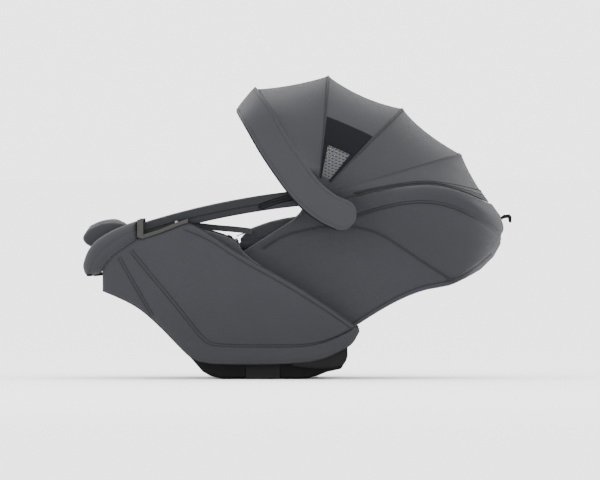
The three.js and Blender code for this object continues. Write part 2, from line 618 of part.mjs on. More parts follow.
// ---------- controls ----------
const leverOutline = [[-346, 197], [-345, 203], [-322, 203.5], [-315, 201], [-315, 196], [-330, 194.5]];
add("recline_lever", prism(leverOutline, -45, 45, 1), black);
const pullOutline = [
  [444.8, 302], [452, 305], [459, 306], [461, 297], [465.5, 297], [466, 308], [462, 313], [451, 312], [444.8, 307.5],
];
add("head_lever", prism(pullOutline, -13, 13, 1), black);

export default root;
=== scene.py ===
# %% [markdown]
# # A lie-flat infant car seat
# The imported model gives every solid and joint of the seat. This lesson dresses it: padded
# panels, a stretched canopy, webbing and moulded plastic are made around those solids, and
# each piece rides on the body that carries it. Lengths in the makers' lists are millimetres.

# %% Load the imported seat
import json
import math
from functools import partial

import bmesh
import bpy
import numpy as np
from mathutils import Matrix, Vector

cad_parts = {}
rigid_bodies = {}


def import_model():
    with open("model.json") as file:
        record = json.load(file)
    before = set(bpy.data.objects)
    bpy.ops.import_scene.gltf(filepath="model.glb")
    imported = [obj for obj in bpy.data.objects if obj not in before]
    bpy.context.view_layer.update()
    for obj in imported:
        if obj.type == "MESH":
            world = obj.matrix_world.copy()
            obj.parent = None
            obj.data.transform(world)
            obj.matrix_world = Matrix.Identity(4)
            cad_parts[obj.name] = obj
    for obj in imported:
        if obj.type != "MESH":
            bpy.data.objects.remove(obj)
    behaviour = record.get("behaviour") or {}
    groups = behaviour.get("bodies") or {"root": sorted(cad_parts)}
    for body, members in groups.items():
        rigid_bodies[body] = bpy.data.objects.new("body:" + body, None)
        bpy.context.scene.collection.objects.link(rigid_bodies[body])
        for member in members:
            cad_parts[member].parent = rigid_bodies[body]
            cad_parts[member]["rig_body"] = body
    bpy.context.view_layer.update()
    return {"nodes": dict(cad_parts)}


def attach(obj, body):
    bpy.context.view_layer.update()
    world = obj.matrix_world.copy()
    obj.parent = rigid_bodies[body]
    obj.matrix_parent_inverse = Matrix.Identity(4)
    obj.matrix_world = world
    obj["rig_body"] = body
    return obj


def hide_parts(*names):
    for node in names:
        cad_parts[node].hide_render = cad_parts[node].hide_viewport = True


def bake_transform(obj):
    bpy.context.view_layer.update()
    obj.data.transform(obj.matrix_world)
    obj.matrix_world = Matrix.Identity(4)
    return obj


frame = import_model()
nodes = frame["nodes"]
MM = 0.001
SIDES = (("left", -1.0), ("right", 1.0))

# %% [markdown]
# ## Small helpers
# Every piece is made in the same few moves: an object is linked to the scene, selected for an
# operator, welded, and its points are read and moved as one array. A line is an array of
# points, and `steps_along` and `heading` say how far along it they are and which way it runs.


# %% Helpers
def new_object(name, data):
    obj = bpy.data.objects.new(name, data)
    bpy.context.scene.collection.objects.link(obj)
    return obj


def select(*objects):
    bpy.ops.object.select_all(action="DESELECT")
    for obj in objects:
        obj.select_set(True)
    if objects:
        bpy.context.view_layer.objects.active = objects[0]


def join(name, parts):
    select(*parts)
    bpy.ops.object.join()
    parts[0].name = name
    return parts[0]


def weld(obj, distance, normals=True):
    bm = bmesh.new()
    bm.from_mesh(obj.data)
    bmesh.ops.remove_doubles(bm, verts=bm.verts, dist=distance)
    if normals:
        bmesh.ops.recalc_face_normals(bm, faces=bm.faces)
    bm.to_mesh(obj.data)
    bm.free()


def get_points(obj):
    return np.array([v.co for v in obj.data.vertices])


def get_normals(obj):
    return np.array([v.normal for v in obj.data.vertices])


def set_points(obj, co):
    obj.data.vertices.foreach_set("co", co.ravel())
    obj.data.update()


def unit(v):
    return v / np.linalg.norm(v)


def steps_along(line):
    """Distance from the start of a line to each of its points."""
    return np.r_[0, np.cumsum(np.linalg.norm(np.diff(line, axis=0), axis=1))]


def heading(line, i):
    return unit(line[min(i + 1, len(line) - 1)] - line[max(i - 1, 0)])


print("helpers ready")

# %% [markdown]
# ## Camera
# The seat is seen square on from its left side, from far off with a long lens, so that the far
# side hides almost exactly behind the near one.

# %% Camera
VIEW_WIDTH = 1.14  # metres across the picture where the seat's near side is
EYE_DISTANCE = 26.0
AIM = Vector((0.0608, -0.2, 0.265))
EYE_RISE = math.radians(0.4)
SENSOR = 36.0

camera_data = bpy.data.cameras.new("camera")
camera_data.sensor_width = SENSOR
camera_data.lens = SENSOR * EYE_DISTANCE / VIEW_WIDTH
camera = new_object("camera", camera_data)
camera.location = AIM + EYE_DISTANCE * Vector((0, -math.cos(EYE_RISE), math.sin(EYE_RISE)))
camera.rotation_euler = (math.radians(90) - EYE_RISE, 0, 0)
bpy.context.scene.camera = camera
print("camera lens", round(camera_data.lens, 1))

# %% [markdown]
# ## Floor and light
# A large pale floor, a white sky and three soft area lights keep the dark cloth readable
# without hard shadows.

# %% Floor and lights
FLOOR_SIZE, FLOOR_DROP = 300, 0.0005
SKY = 3.2


def flat_material(name, color, roughness):
    material = bpy.data.materials.new(name)
    material.use_nodes = True
    shader = material.node_tree.nodes["Principled BSDF"]
    shader.inputs["Base Color"].default_value = (*color, 1)
    shader.inputs["Roughness"].default_value = roughness
    return material


def soft_light(name, place, aim, size, watts):
    data = bpy.data.lights.new(name, "AREA")
    data.size, data.energy = size, watts
    lamp = new_object(name, data)
    lamp.location = place
    lamp.rotation_euler = (Vector(aim) - Vector(place)).to_track_quat("-Z", "Y").to_euler()


select()
bpy.ops.mesh.primitive_plane_add(size=FLOOR_SIZE, location=(0, 0, -FLOOR_DROP))
floor = bpy.context.object
floor.name = "floor"
floor.data.materials.append(flat_material("floor_paint", (0.95, 0.95, 0.95), 0.9))
soft_light("key", (-2.4, -2.3, 1.7), (0, 0, 0.3), 2.2, 46)
soft_light("fill", (2.4, -2.4, 1.2), (0.1, 0, 0.3), 2.4, 12)
soft_light("top", (0.3, 0.6, 3.0), (0.1, 0, 0.3), 2.6, 4)
world = bpy.data.worlds.new("studio")
world.use_nodes = True
sky = world.node_tree.nodes["Background"]
sky.inputs[0].default_value = (1, 1, 1, 1)
sky.inputs[1].default_value = SKY
bpy.context.scene.world = world
print("three soft lights and a floor")

# %% [markdown]
# ## Effects that several finishes share
# A weave is two crossed waves that read the piece's own place, so the threads keep one size
# all over. Melange is the small light and dark change that dyed yarn shows. Scuff lightens
# places that hands and floors rub. Each is a node group with named sockets, built once.


# %% Node groups
def new_group(name, inputs, outputs):
    group = bpy.data.node_groups.new(name, "ShaderNodeTree")
    for label, kind, value in inputs:
        socket = group.interface.new_socket(label, in_out="INPUT", socket_type=kind)
        if value is not None:
            socket.default_value = value
    for label, kind in outputs:
        group.interface.new_socket(label, in_out="OUTPUT", socket_type=kind)
    return group, group.nodes.new("NodeGroupInput"), group.nodes.new("NodeGroupOutput")


def math_node(tree, operation, a, b=None):
    node = tree.nodes.new("ShaderNodeMath")
    node.operation = operation
    for socket, value in zip(node.inputs, (a, b)):
        if value is None:
            continue
        if isinstance(value, (int, float)):
            socket.default_value = value
        else:
            tree.links.new(value, socket)
    return node.outputs[0]


def noise_node(tree, vector, scale, detail=2.0):
    node = tree.nodes.new("ShaderNodeTexNoise")
    tree.links.new(vector, node.inputs["Vector"])
    if isinstance(scale, (int, float)):
        node.inputs["Scale"].default_value = scale
    else:
        tree.links.new(scale, node.inputs["Scale"])
    node.inputs["Detail"].default_value = detail
    return node.outputs["Fac"]


def build_weave():
    group, given, out = new_group(
        "weave",
        [("Vector", "NodeSocketVector", None), ("Threads per metre", "NodeSocketFloat", 1400.0)],
        [("Height", "NodeSocketFloat"), ("Melange", "NodeSocketFloat")],
    )
    do = partial(math_node, group)
    split = group.nodes.new("ShaderNodeSeparateXYZ")
    group.links.new(given.outputs["Vector"], split.inputs[0])
    x, y, z = split.outputs
    turns = do("MULTIPLY", given.outputs["Threads per metre"], math.pi)
    across = do("ADD", x, do("MULTIPLY", y, 0.83))
    along = do("SUBTRACT", z, do("MULTIPLY", y, 0.71))
    warp = do("SINE", do("MULTIPLY", across, turns))
    weft = do("SINE", do("MULTIPLY", along, turns))
    group.links.new(do("MULTIPLY", warp, weft), out.inputs["Height"])
    place, density = given.outputs["Vector"], given.outputs["Threads per metre"]
    fine = noise_node(group, place, density, 1.0)
    broad = noise_node(group, place, 14.0, 3.0)
    mixed = do("ADD", do("MULTIPLY", fine, 0.7), do("MULTIPLY", broad, 0.3))
    group.links.new(mixed, out.inputs["Melange"])
    return group


def build_grain():
    group, given, out = new_group(
        "grain",
        [("Vector", "NodeSocketVector", None), ("Scale", "NodeSocketFloat", 900.0)],
        [("Height", "NodeSocketFloat"), ("Scuff", "NodeSocketFloat")],
    )
    do = partial(math_node, group)
    place = given.outputs["Vector"]
    group.links.new(noise_node(group, place, given.outputs["Scale"], 2.0), out.inputs["Height"])
    worn = noise_node(group, place, 38.0, 6.0)
    cut = do("MULTIPLY", do("SUBTRACT", worn, 0.55), 3.0)
    group.links.new(do("MAXIMUM", cut, 0.0), out.inputs["Scuff"])
    return group


WEAVE = build_weave()
GRAIN = build_grain()
print("groups:", WEAVE.name, GRAIN.name)


# %% [markdown]
# ## Finishes
# Cloth is rough with a little sheen, plastic has a fine spark grain, webbing reads the
# strap's own UV so that its ribs run along it, and the window is a net with real holes.


# %% Materials
def start(name, roughness, **plain):
    material = bpy.data.materials.new(name)
    material.use_nodes = True
    tree = material.node_tree
    shader = tree.nodes["Principled BSDF"]
    shader.inputs["Roughness"].default_value = roughness
    for key, value in plain.items():
        shader.inputs[key.replace("_", " ")].default_value = value
    place = tree.nodes.new("ShaderNodeTexCoord").outputs["Object"]
    return material, tree, shader, place


def use_group(tree, group, vector, value):
    node = tree.nodes.new("ShaderNodeGroup")
    node.node_tree = group
    tree.links.new(vector, node.inputs[0])
    node.inputs[1].default_value = value
    return node


def two_tones(tree, factor, dark, light, socket):
    mix = tree.nodes.new("ShaderNodeMix")
    mix.data_type = "RGBA"
    mix.inputs[6].default_value = (*dark, 1)
    mix.inputs[7].default_value = (*light, 1)
    tree.links.new(factor, mix.inputs[0])
    tree.links.new(mix.outputs[2], socket)


def bump(tree, height, distance, shader, strength=0.6):
    node = tree.nodes.new("ShaderNodeBump")
    node.inputs["Strength"].default_value = strength
    node.inputs["Distance"].default_value = distance
    tree.links.new(height, node.inputs["Height"])
    tree.links.new(node.outputs[0], shader.inputs["Normal"])


def shade(color, factor):
    return tuple(min(1.0, c * factor) for c in color)


def cloth(name, color, threads=1100.0, sheen=0.08, contrast=0.22):
    material, tree, shader, place = start(name, 0.9, Sheen_Weight=sheen, Sheen_Roughness=0.5,
                                          Specular_IOR_Level=0.15)
    weave = use_group(tree, WEAVE, place, threads)
    dark, light = shade(color, 1 - contrast), shade(color, 1 + contrast)
    two_tones(tree, weave.outputs["Melange"], dark, light, shader.inputs["Base Color"])
    bump(tree, weave.outputs["Height"], 0.00025, shader)
    return material


def plastic(name, color, roughness=0.5, grain=1100.0, scuff=1.35, metallic=0.0, shine=0.12):
    material, tree, shader, place = start(name, roughness, Metallic=metallic,
                                          Specular_IOR_Level=shine)
    spark = use_group(tree, GRAIN, place, grain)
    two_tones(tree, spark.outputs["Scuff"], color, shade(color, scuff), shader.inputs["Base Color"])
    bump(tree, spark.outputs["Height"], 0.00012, shader, 0.5)
    return material


RIB, PICK = 0.0024, 0.0016  # metres from rib to rib and from thread to thread of webbing
NET_HOLE, NET_ROW, NET_DASH = 0.0092, 0.0058, 0.0072  # metres, the window net's pattern


def cloth_map(tree):
    """The two coordinates of a piece's own map, which is in metres."""
    own = tree.nodes.new("ShaderNodeUVMap")
    own.uv_map = "cloth"
    split = tree.nodes.new("ShaderNodeSeparateXYZ")
    tree.links.new(own.outputs[0], split.inputs[0])
    return split.outputs[0], split.outputs[1]


def webbing_finish(name, color):
    material, tree, shader, _ = start(name, 0.7, Sheen_Weight=0.15, Specular_IOR_Level=0.35)
    do = partial(math_node, tree)
    across, along = cloth_map(tree)
    rib = do("SINE", do("MULTIPLY", across, math.tau / RIB))
    slant = do("ADD", along, do("MULTIPLY", across, 0.5))
    pick = do("SINE", do("MULTIPLY", slant, math.tau / PICK))
    height = do("ADD", do("MULTIPLY", rib, 0.7), do("MULTIPLY", pick, 0.3))
    # the colour follows the rib height, lighter on the ribs and darker in the grooves: painted
    # shade of the ribs
    tone = do("ADD", do("MULTIPLY", height, 0.35), 0.5)
    two_tones(tree, tone, shade(color, 0.75), shade(color, 1.3), shader.inputs["Base Color"])
    bump(tree, height, 0.0003, shader, 0.8)
    return material


def net_finish(name, color):
    material, tree, shader, _ = start(name, 0.9, Specular_IOR_Level=0.05)
    do = partial(math_node, tree)
    across, along = cloth_map(tree)
    step = math.tau / NET_HOLE
    u, v = do("MULTIPLY", across, step), do("MULTIPLY", along, step)
    crossed = do("MULTIPLY", do("COSINE", do("ADD", u, v)), do("COSINE", do("SUBTRACT", u, v)))
    thread = do("LESS_THAN", crossed, 0.9)
    tree.links.new(do("MAXIMUM", thread, 0.0), shader.inputs["Alpha"])
    rows = do("COSINE", do("MULTIPLY", along, math.tau / NET_ROW))
    slant = do("ADD", across, do("MULTIPLY", along, 0.5))
    dashes = do("COSINE", do("MULTIPLY", slant, math.tau / NET_DASH))
    woven = do("LESS_THAN", do("ADD", rows, do("MULTIPLY", dashes, 0.5)), 0.8)
    two_tones(tree, woven, shade(color, 0.18), color, shader.inputs["Base Color"])
    return material


COVER = (0.0204, 0.0210, 0.0242)
cover_cloth = cloth("cover_cloth", COVER)
canopy_cloth = cloth("canopy_cloth", (0.0245, 0.0252, 0.0279), threads=1300.0, sheen=0.08)
piping_cloth = cloth("piping_cloth", (0.015, 0.0155, 0.018), threads=1600.0)
liner_cloth = cloth("liner_cloth", (0.0165, 0.017, 0.020), threads=700.0, sheen=0.1, contrast=0.3)
blind_cloth = cloth("blind_cloth", (0.0035, 0.0037, 0.005), threads=1500.0, sheen=0.0)
# a darker copy of the cover cloth: painted shade for the folds along seams
seam_shadow = cloth("seam_shadow", (0.0122, 0.0126, 0.0145), threads=1600.0, sheen=0.0)
# a slightly darker copy of the cover cloth: painted shade along the back cover's crease
crease_shade_cloth = cloth("crease_shade_cloth", (0.0178, 0.0183, 0.0210), threads=1200.0, sheen=0.0)
net_cloth = net_finish("net_cloth", (0.062, 0.064, 0.067))
webbing = webbing_finish("webbing", (0.006, 0.006, 0.0072))
thread = plastic("thread", (0.012, 0.0125, 0.0145), 0.7, 2500.0)
black_plastic = plastic("black_plastic", (0.0062, 0.0062, 0.0064), 0.6, shine=0.06)
shell_plastic = plastic("shell_plastic", (0.0034, 0.0034, 0.004), 0.75, 600.0)
trim_plastic = plastic("trim_plastic", (0.0250, 0.0253, 0.0232), 0.55, 1500.0, 1.15)
plate_plastic = plastic("plate_plastic", (0.0105, 0.0105, 0.0108), 0.6, shine=0.08)
rail_metal = plastic("rail_metal", (0.0090, 0.0093, 0.0114), 0.5, 2200.0, 1.5, 0.0)
red_plastic = plastic("red_plastic", (0.10, 0.005, 0.004), 0.35, 1800.0, 1.2)
steel = plastic("steel", (0.16, 0.16, 0.17), 0.28, 1500.0, 1.1, 1.0)
print("finishes:", len(bpy.data.materials))

# %% [markdown]
# ## Makers' tools
# Cloth pieces are grids: a row of points for each station along the piece. `grid` turns such
# rows into a mesh with a UV map in metres, `place` puts it on its body, and `seam_stitches`
# lays real thread along a line.


# %% Lines and grids
def smooth_line(points, count, rounds=2):
    """Corner-cut line through the control points, as evenly spaced points."""
    p = np.array(points, float)
    for _ in range(rounds):
        q = np.empty((2 * len(p) - 2, p.shape[1]))
        q[0::2] = 0.75 * p[:-1] + 0.25 * p[1:]
        q[1::2] = 0.25 * p[:-1] + 0.75 * p[1:]
        p = np.vstack([p[:1], q, p[-1:]])
    step = steps_along(p)
    at = np.linspace(0, step[-1], count)
    return np.stack([np.interp(at, step, p[:, k]) for k in range(p.shape[1])], 1)


def height_over(points):
    dense = smooth_line(points, 260)
    return lambda x: np.interp(x, dense[:, 0], dense[:, 1])


def smoothstep(t):
    t = np.clip(t, 0, 1)
    return t * t * (3 - 2 * t)


def distance_to(line, x, z):
    """Shortest distance from the points (x, z) to an open line."""
    p = np.stack([np.asarray(x, float), np.asarray(z, float)], -1)[..., None, :]
    a, b = line[:-1], line[1:]
    d = b - a
    t = np.clip(((p - a) * d).sum(-1) / np.maximum((d * d).sum(-1), 1e-9), 0, 1)
    return np.sqrt((((p - a) - t[..., None] * d) ** 2).sum(-1)).min(-1)


def grid(name, points, closed=False, ends=False):
    """A mesh through points[row][column]: closed joins each row into a ring, ends caps them."""
    P = np.asarray(points, float) * MM
    n, m = P.shape[:2]
    faces, uvs = [], []
    last_gap = steps_along(P.mean(0))[-1] / m  # across the join of a closed row
    width = np.array([steps_along(row) for row in P])
    length = np.stack([steps_along(P[:, j]) for j in range(m)], 1)
    length = np.repeat(length.mean(1)[:, None], m, 1)
    for i in range(n - 1):
        for j in range(m if closed else m - 1):
            k = (j + 1) % m
            faces.append((i * m + j, i * m + k, (i + 1) * m + k, (i + 1) * m + j))
            u2 = width[i, j] + last_gap if k == 0 else width[i, k]
            u3 = width[i + 1, j] + last_gap if k == 0 else width[i + 1, k]
            uvs += [(width[i, j], length[i, j]), (u2, length[i, j]), (u3, length[i + 1, j]),
                    (width[i + 1, j], length[i + 1, j])]
    if ends:
        for row in (0, n - 1):
            faces.append(tuple(row * m + j for j in range(m)))
            uvs += [(width[row, j], length[row, j]) for j in range(m)]
    mesh = bpy.data.meshes.new(name)
    mesh.from_pydata(P.reshape(-1, 3).tolist(), [], faces)
    layer = mesh.uv_layers.new(name="cloth")
    layer.data.foreach_set("uv", np.array(uvs, float).ravel())
    obj = new_object(name, mesh)
    if closed or ends:
        tidy_normals(obj)
    return obj


def tidy_normals(obj):
    weld(obj, 1e-6)
    obj.data.shade_smooth()


def apply_all(obj):
    select(obj)
    for modifier in list(obj.modifiers):
        bpy.ops.object.modifier_apply(modifier=modifier.name)


def thicken(obj, thickness, offset=0.0):
    wall = obj.modifiers.new("wall", "SOLIDIFY")
    wall.thickness, wall.offset = thickness * MM, offset
    apply_all(obj)
    obj.data.shade_smooth()


def place(obj, finish, slot, body=None, between=None, stands_for=()):
    """Finish a piece and put it on its body, or, given two bodies to lie between, fix its place
    into its points.
    """
    obj.data.materials.clear()
    obj.data.materials.append(finish)
    if between:
        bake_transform(obj)
    else:
        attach(obj, body)
    if stands_for:
        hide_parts(*stands_for)
    return obj


STITCH_TOP = [(0, 1, 6), (1, 2, 7, 6), (2, 3, 7), (3, 4, 7), (4, 5, 6, 7), (5, 0, 6)]
STITCH_UNDER = [(1, 0, 8), (2, 1, 8), (3, 2, 8), (4, 3, 8), (5, 4, 8), (0, 5, 8)]


def seam_stitches(name, lines, length=3.4, gap=1.5, wide=0.75, rise=0.45):
    """Thread along 3-D lines given with their outward normals: one small lozenge a stitch."""
    verts, faces = [], []
    for line, normal in lines:
        line, normal = np.asarray(line, float), np.asarray(normal, float)
        step = steps_along(line)

        def at(where, values, step=step):
            return np.array([np.interp(where, step, values[:, k]) for k in range(3)])

        for s in np.arange(0, step[-1] - length, length + gap):
            a, b = at(s, line), at(s + length, line)
            n = unit(at(s, normal))
            t = (b - a) / max(np.linalg.norm(b - a), 1e-9)
            w = np.cross(t, n) * wide / 2
            near, far = a * 0.75 + b * 0.25, b * 0.75 + a * 0.25
            mid = (a + b) / 2 + n * rise
            base = len(verts)
            verts += [a - n * 0.3, near + w + n * 0.1, far + w + n * 0.1, b - n * 0.3,
                      far - w + n * 0.1, near - w + n * 0.1, mid - t * length / 4,
                      mid + t * length / 4, (a + b) / 2 - n * 0.8]
            faces += [tuple(base + i for i in face) for face in STITCH_TOP + STITCH_UNDER]
    mesh = bpy.data.meshes.new(name)
    mesh.from_pydata([tuple(v * MM) for v in verts], [], faces)
    obj = new_object(name, mesh)
    tidy_normals(obj)
    return obj


def tube(name, line, radius, sides=8):
    """A round cord of cloth, such as piping, along a 3-D line."""
    line = np.asarray(line, float)
    ring = np.linspace(0, 2 * math.pi, sides, endpoint=False)
    rows = []
    for i, p in enumerate(line):
        along = heading(line, i)
        side = unit(np.cross(along, (0.31, 0.05, 0.95)))
        up = np.cross(side, along)
        rows.append([p + radius * (math.cos(a) * side + math.sin(a) * up) for a in ring])
    return grid(name, rows, closed=True, ends=True)


def seam_cords(name, lines, radius=0.52):
    """Several lines as one mesh of thin cloth tubes: piping, or dark cords that are painted shade
    in seam folds.
    """
    parts = [tube(f"{name}_{i}", line, radius, 6) for i, line in enumerate(lines)]
    cords = join(name, parts)
    cords.data.shade_smooth()
    return cords


print("tools ready")

# %% [markdown]
# ## Moulded parts
# A moulding has no sharp edges. Most plastic and metal solids are copied, their loose triangles
# are merged, and a narrow bevel rounds every edge the way a tool radius does. The steel bars
# and the canopy hoops keep their own mesh and only get a finish.


# %% Bevelled copies
SAME_PLACE = 2e-5  # metres: the corners of loose triangles that are one corner
ROUND_FROM, SMOOTH_BELOW = math.radians(28), math.radians(32)


def moulded(node, finish, slot, radius, steps=2):
    obj = new_object(node + "_moulded", nodes[node].data.copy())
    select(obj)
    bpy.ops.object.mode_set(mode="EDIT")
    bpy.ops.mesh.select_all(action="SELECT")
    bpy.ops.mesh.remove_doubles(threshold=SAME_PLACE)
    bpy.ops.mesh.dissolve_limited(angle_limit=math.radians(0.8))
    bpy.ops.object.mode_set(mode="OBJECT")
    edge = obj.modifiers.new("edge", "BEVEL")
    edge.width, edge.segments = radius * MM, steps
    edge.limit_method, edge.angle_limit = "ANGLE", ROUND_FROM
    apply_all(obj)
    bpy.ops.object.shade_smooth_by_angle(angle=SMOOTH_BELOW)
    apply_all(obj)
    return place(obj, finish, slot, nodes[node]["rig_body"], stands_for=[node])


for label, _ in SIDES:
    moulded(f"base_plate_{label}", plate_plastic, "black_plastic", 1.2)
    moulded(f"rail_trim_{label}", trim_plastic, "trim_plastic", 1.3, 3)
    moulded(f"handle_button_{label}", black_plastic, "black_plastic", 1.2, 3)
    moulded(f"harness_tongue_{label}", steel, "steel", 0.5)
moulded("base_tray", black_plastic, "black_plastic", 2.0, 3)
moulded("seat_shell", shell_plastic, "foam_shell", 3.0, 3)
moulded("back_panel", shell_plastic, "foam_shell", 2.5, 3)
moulded("buckle_body", black_plastic, "black_plastic", 1.6, 3)
moulded("buckle_button", red_plastic, "red_plastic", 0.7, 3)
moulded("adjuster_housing", black_plastic, "black_plastic", 1.4, 3)
moulded("adjuster_button", red_plastic, "red_plastic", 0.6, 2)
moulded("recline_lever", black_plastic, "black_plastic", 1.4, 3)
moulded("head_lever", black_plastic, "black_plastic", 1.2, 3)
moulded("headrest_shell", shell_plastic, "black_plastic", 1.0, 2)
BARS = ("latch_bar_front", "latch_bar_rear", "recline_axle", "hub_pin_left", "hub_pin_right")
HOOP_NODES = ("canopy_hoop_front", "canopy_hoop_middle", "canopy_hoop_rear")
for names, finish in ((BARS, steel), (HOOP_NODES, black_plastic)):
    for name in names:
        nodes[name].data.materials.clear()
        nodes[name].data.materials.append(finish)

# %% [markdown]
# ## Side panels of the seat
# The real panel is a foam board under stretched cloth: full in the middle, rolled over at the
# rim, with two sewn channels that dip where the thread pulls. The same outline is filled with
# a fine grid, and every point's depth comes from how far it is from the edge and the seams.

# %% Outline and depth of the panel
panel_hem = height_over([(-315, 168), (-295, 160), (-264, 146), (-237, 129), (-202, 97), (-171, 64),
                         (-144, 37), (-115, 30), (-86, 28.5), (-8, 28), (69, 31), (108, 39),
                         (139, 54), (160, 66), (174, 92)])
panel_rim = height_over([(-315, 205), (-310, 217), (-297, 236), (-268, 256), (-249, 267),
                         (-236, 271), (-205, 280), (-172, 293), (-158, 298), (-145, 296),
                         (-109, 275), (-55, 238), (31, 191.5), (108, 143), (160, 105), (174, 96)])
SEAM_A = smooth_line([(-285, 231), (-262, 190), (-240, 152), (-222, 120)], 60)
SEAM_B = smooth_line([(-262, 242), (-216, 186), (-171, 132), (-146, 100), (-130, 80), (-117, 68),
                      (-100, 63), (-60, 61.5), (0, 61), (69, 61.5), (108, 70), (140, 84),
                      (160, 95)], 200)
SEAM_A2 = SEAM_A + np.array([4.5, 2.0])
SEAM_B2 = SEAM_B + np.array([4.2, 4.2])
PANEL_ROLL = 9.0  # radius of the panel's rolled edge
RIM_SEAM = smooth_line([(-158, 284), (-109, 264), (-57, 228), (28, 182), (105, 134),
                        (156, 98)], 160)


def panel_face(z):
    return 176 + 30 * smoothstep((z - 25) / 150)


def panel_points(outline_low, outline_high, xs, rows, outer, radius, seams=(), crown=0.0):
    """Side-view points of a padded board, and its outer face, the edge rounded to `radius`."""
    v = smoothstep(np.linspace(0, 1, rows)) * 0.5 + np.linspace(0, 1, rows) * 0.5
    low, high = outline_low(xs), outline_high(xs)
    Z = low[:, None] + (high - low)[:, None] * v
    X = np.repeat(xs[:, None], rows, 1)
    border = np.vstack([np.stack([xs, low], 1), np.stack([xs, high], 1)[::-1], [[xs[0], low[0]]]])
    d = distance_to(border, X, Z)
    roll = radius - np.sqrt(np.maximum(radius ** 2 - (radius - np.minimum(d, radius)) ** 2, 0))
    dip = np.zeros_like(d)
    near = d.copy()
    for line, width, depth in seams:
        s = distance_to(line, X, Z)
        near = np.minimum(near, s)
        dip += depth * np.exp(-((s / width) ** 2))
    puff = crown * (1 - np.exp(-((near / 20) ** 2)))
    return X, Z, outer(Z) - roll - dip + puff


def board(name, side, X, Z, face, back):
    """A closed board on one side of the seat, between its outer face and its back."""
    out = np.stack([X, side * face, Z], -1)
    into = np.stack([X, side * back, Z], -1)
    rows = np.concatenate([out, into[:, ::-1]], 1)
    return grid(name, rows, closed=True, ends=True)


xs = np.unique(np.concatenate([np.linspace(-314.5, -300, 10), np.linspace(-300, 160, 190),
                               np.linspace(160, 173.5, 10)]))
seams = [(SEAM_A, 2.2, 1.5), (SEAM_A2, 2.2, 1.5), (SEAM_B, 2.0, 1.6), (SEAM_B2, 2.0, 1.6),
         (RIM_SEAM, 2.4, 1.4)]  # line, width and depth of each sewn channel
X, Z, face = panel_points(panel_hem, panel_rim, xs, 90, panel_face, PANEL_ROLL, seams, 2.4)
back = np.minimum(panel_face(Z) - 11, face - 2.0)
for label, side in SIDES:
    panel = board(f"side_panel_{label}", side, X, Z, face, back)
    place(panel, cover_cloth, "cover_cloth", "seat", stands_for=[f"side_wall_{label}"])
print("panel depth", round(float(face.max()), 1), "mm from the middle")

# %% [markdown]
# Under the rear of each panel a thin black skirt closes the gap down to the base tray.

# %% Base skirts
skirt_top = height_over([(44, 33), (69, 36), (108, 44), (134, 56), (152, 70)])
skirt_low = height_over([(44, 26), (69, 22), (108, 20), (134, 24), (146, 28), (152, 44)])
sx = np.linspace(45, 151.5, 40)
SX, SZ, sface = panel_points(skirt_low, skirt_top, sx, 14, lambda z: 171, 2.5)
for label, side in SIDES:
    skirt = board(f"base_skirt_{label}", side, SX, SZ, sface, np.minimum(165.5, sface - 2.0))
    place(skirt, black_plastic, "black_plastic", "seat")
print("base skirts")

# %% [markdown]
# The inside of each wall is a second, plainer padded board, low enough to leave the side
# rail its pocket behind the outer panel.

# %% Inner boards
inner_top = height_over([(-309, 212), (-268, 236), (-205, 254), (-172, 276), (-150, 288),
                         (-118, 284), (-84, 274), (-66, 266), (-54, 256), (-48, 240),
                         (31, 185), (108, 137), (160, 100)])
inner_low = height_over([(-309, 186), (-264, 158), (-202, 110), (-144, 52), (-86, 44), (69, 46),
                         (139, 62), (160, 76)])
ix = np.linspace(-308, 158, 90)
IX, IZ, iface = panel_points(inner_low, inner_top, ix, 26, lambda z: panel_face(z) - 12.2, 6.0)
for label, side in SIDES:
    lining = board(f"wall_lining_{label}", side, IX, IZ, iface, np.full_like(iface, 163.6))
    place(lining, liner_cloth, "liner_cloth", "seat")
print("inner boards")

# %% [markdown]
# Thread lies in each sewn channel, a thin dark cord under it is painted shade in the seam's
# fold, and piping goes round the rim and the hem. The lines are laid on the panel's face from
# their side view.


# %% Threads, painted seam shade and piping of the panels
def on_panel(line, side):
    """A side-view line laid just under the panel's outer face."""
    x, z = line[:, 0], line[:, 1]
    rim_gap = np.minimum(distance_to(np.stack([xs, panel_rim(xs)], 1), x, z),
                         distance_to(np.stack([xs, panel_hem(xs)], 1), x, z))
    inward = PANEL_ROLL - np.minimum(rim_gap, PANEL_ROLL)
    sink = PANEL_ROLL - np.sqrt(np.maximum(PANEL_ROLL ** 2 - inward ** 2, 0))
    return np.stack([x, side * (panel_face(z) - sink - 0.9), z], 1)


def piping_line(outline, x, side, rise):
    z = outline(x)
    return np.stack([x, side * (panel_face(z) - 5.0), z + rise], 1)


for label, side in SIDES:
    folds = [on_panel(line, side) for line, _, _ in seams]
    lines = [(fold, np.tile([0, side, 0], (len(fold), 1))) for fold in folds]
    place(seam_stitches(f"panel_thread_{label}", lines), thread, "cover_cloth", "seat")
    # dark cords along the sewn channels: painted shade in the seam folds
    place(seam_cords(f"panel_folds_{label}", folds), seam_shadow, "cover_cloth", "seat")
    edges = [piping_line(panel_rim, xs[12:], side, -1.0), piping_line(panel_hem, xs, side, 1.0)]
    place(seam_cords(f"panel_piping_{label}", edges, 1.5), piping_cloth, "cover_cloth", "seat")
print("stitched panels")

# %% [markdown]
# ## Side rails
# Each rail is an extruded bar bent to one long arc, with a slot that the hub's pin travels
# along as the back is raised. It is drawn out station by station, then the slot is cut. Two
# thin lips of soft brush close the slot, with a narrow gap between them.

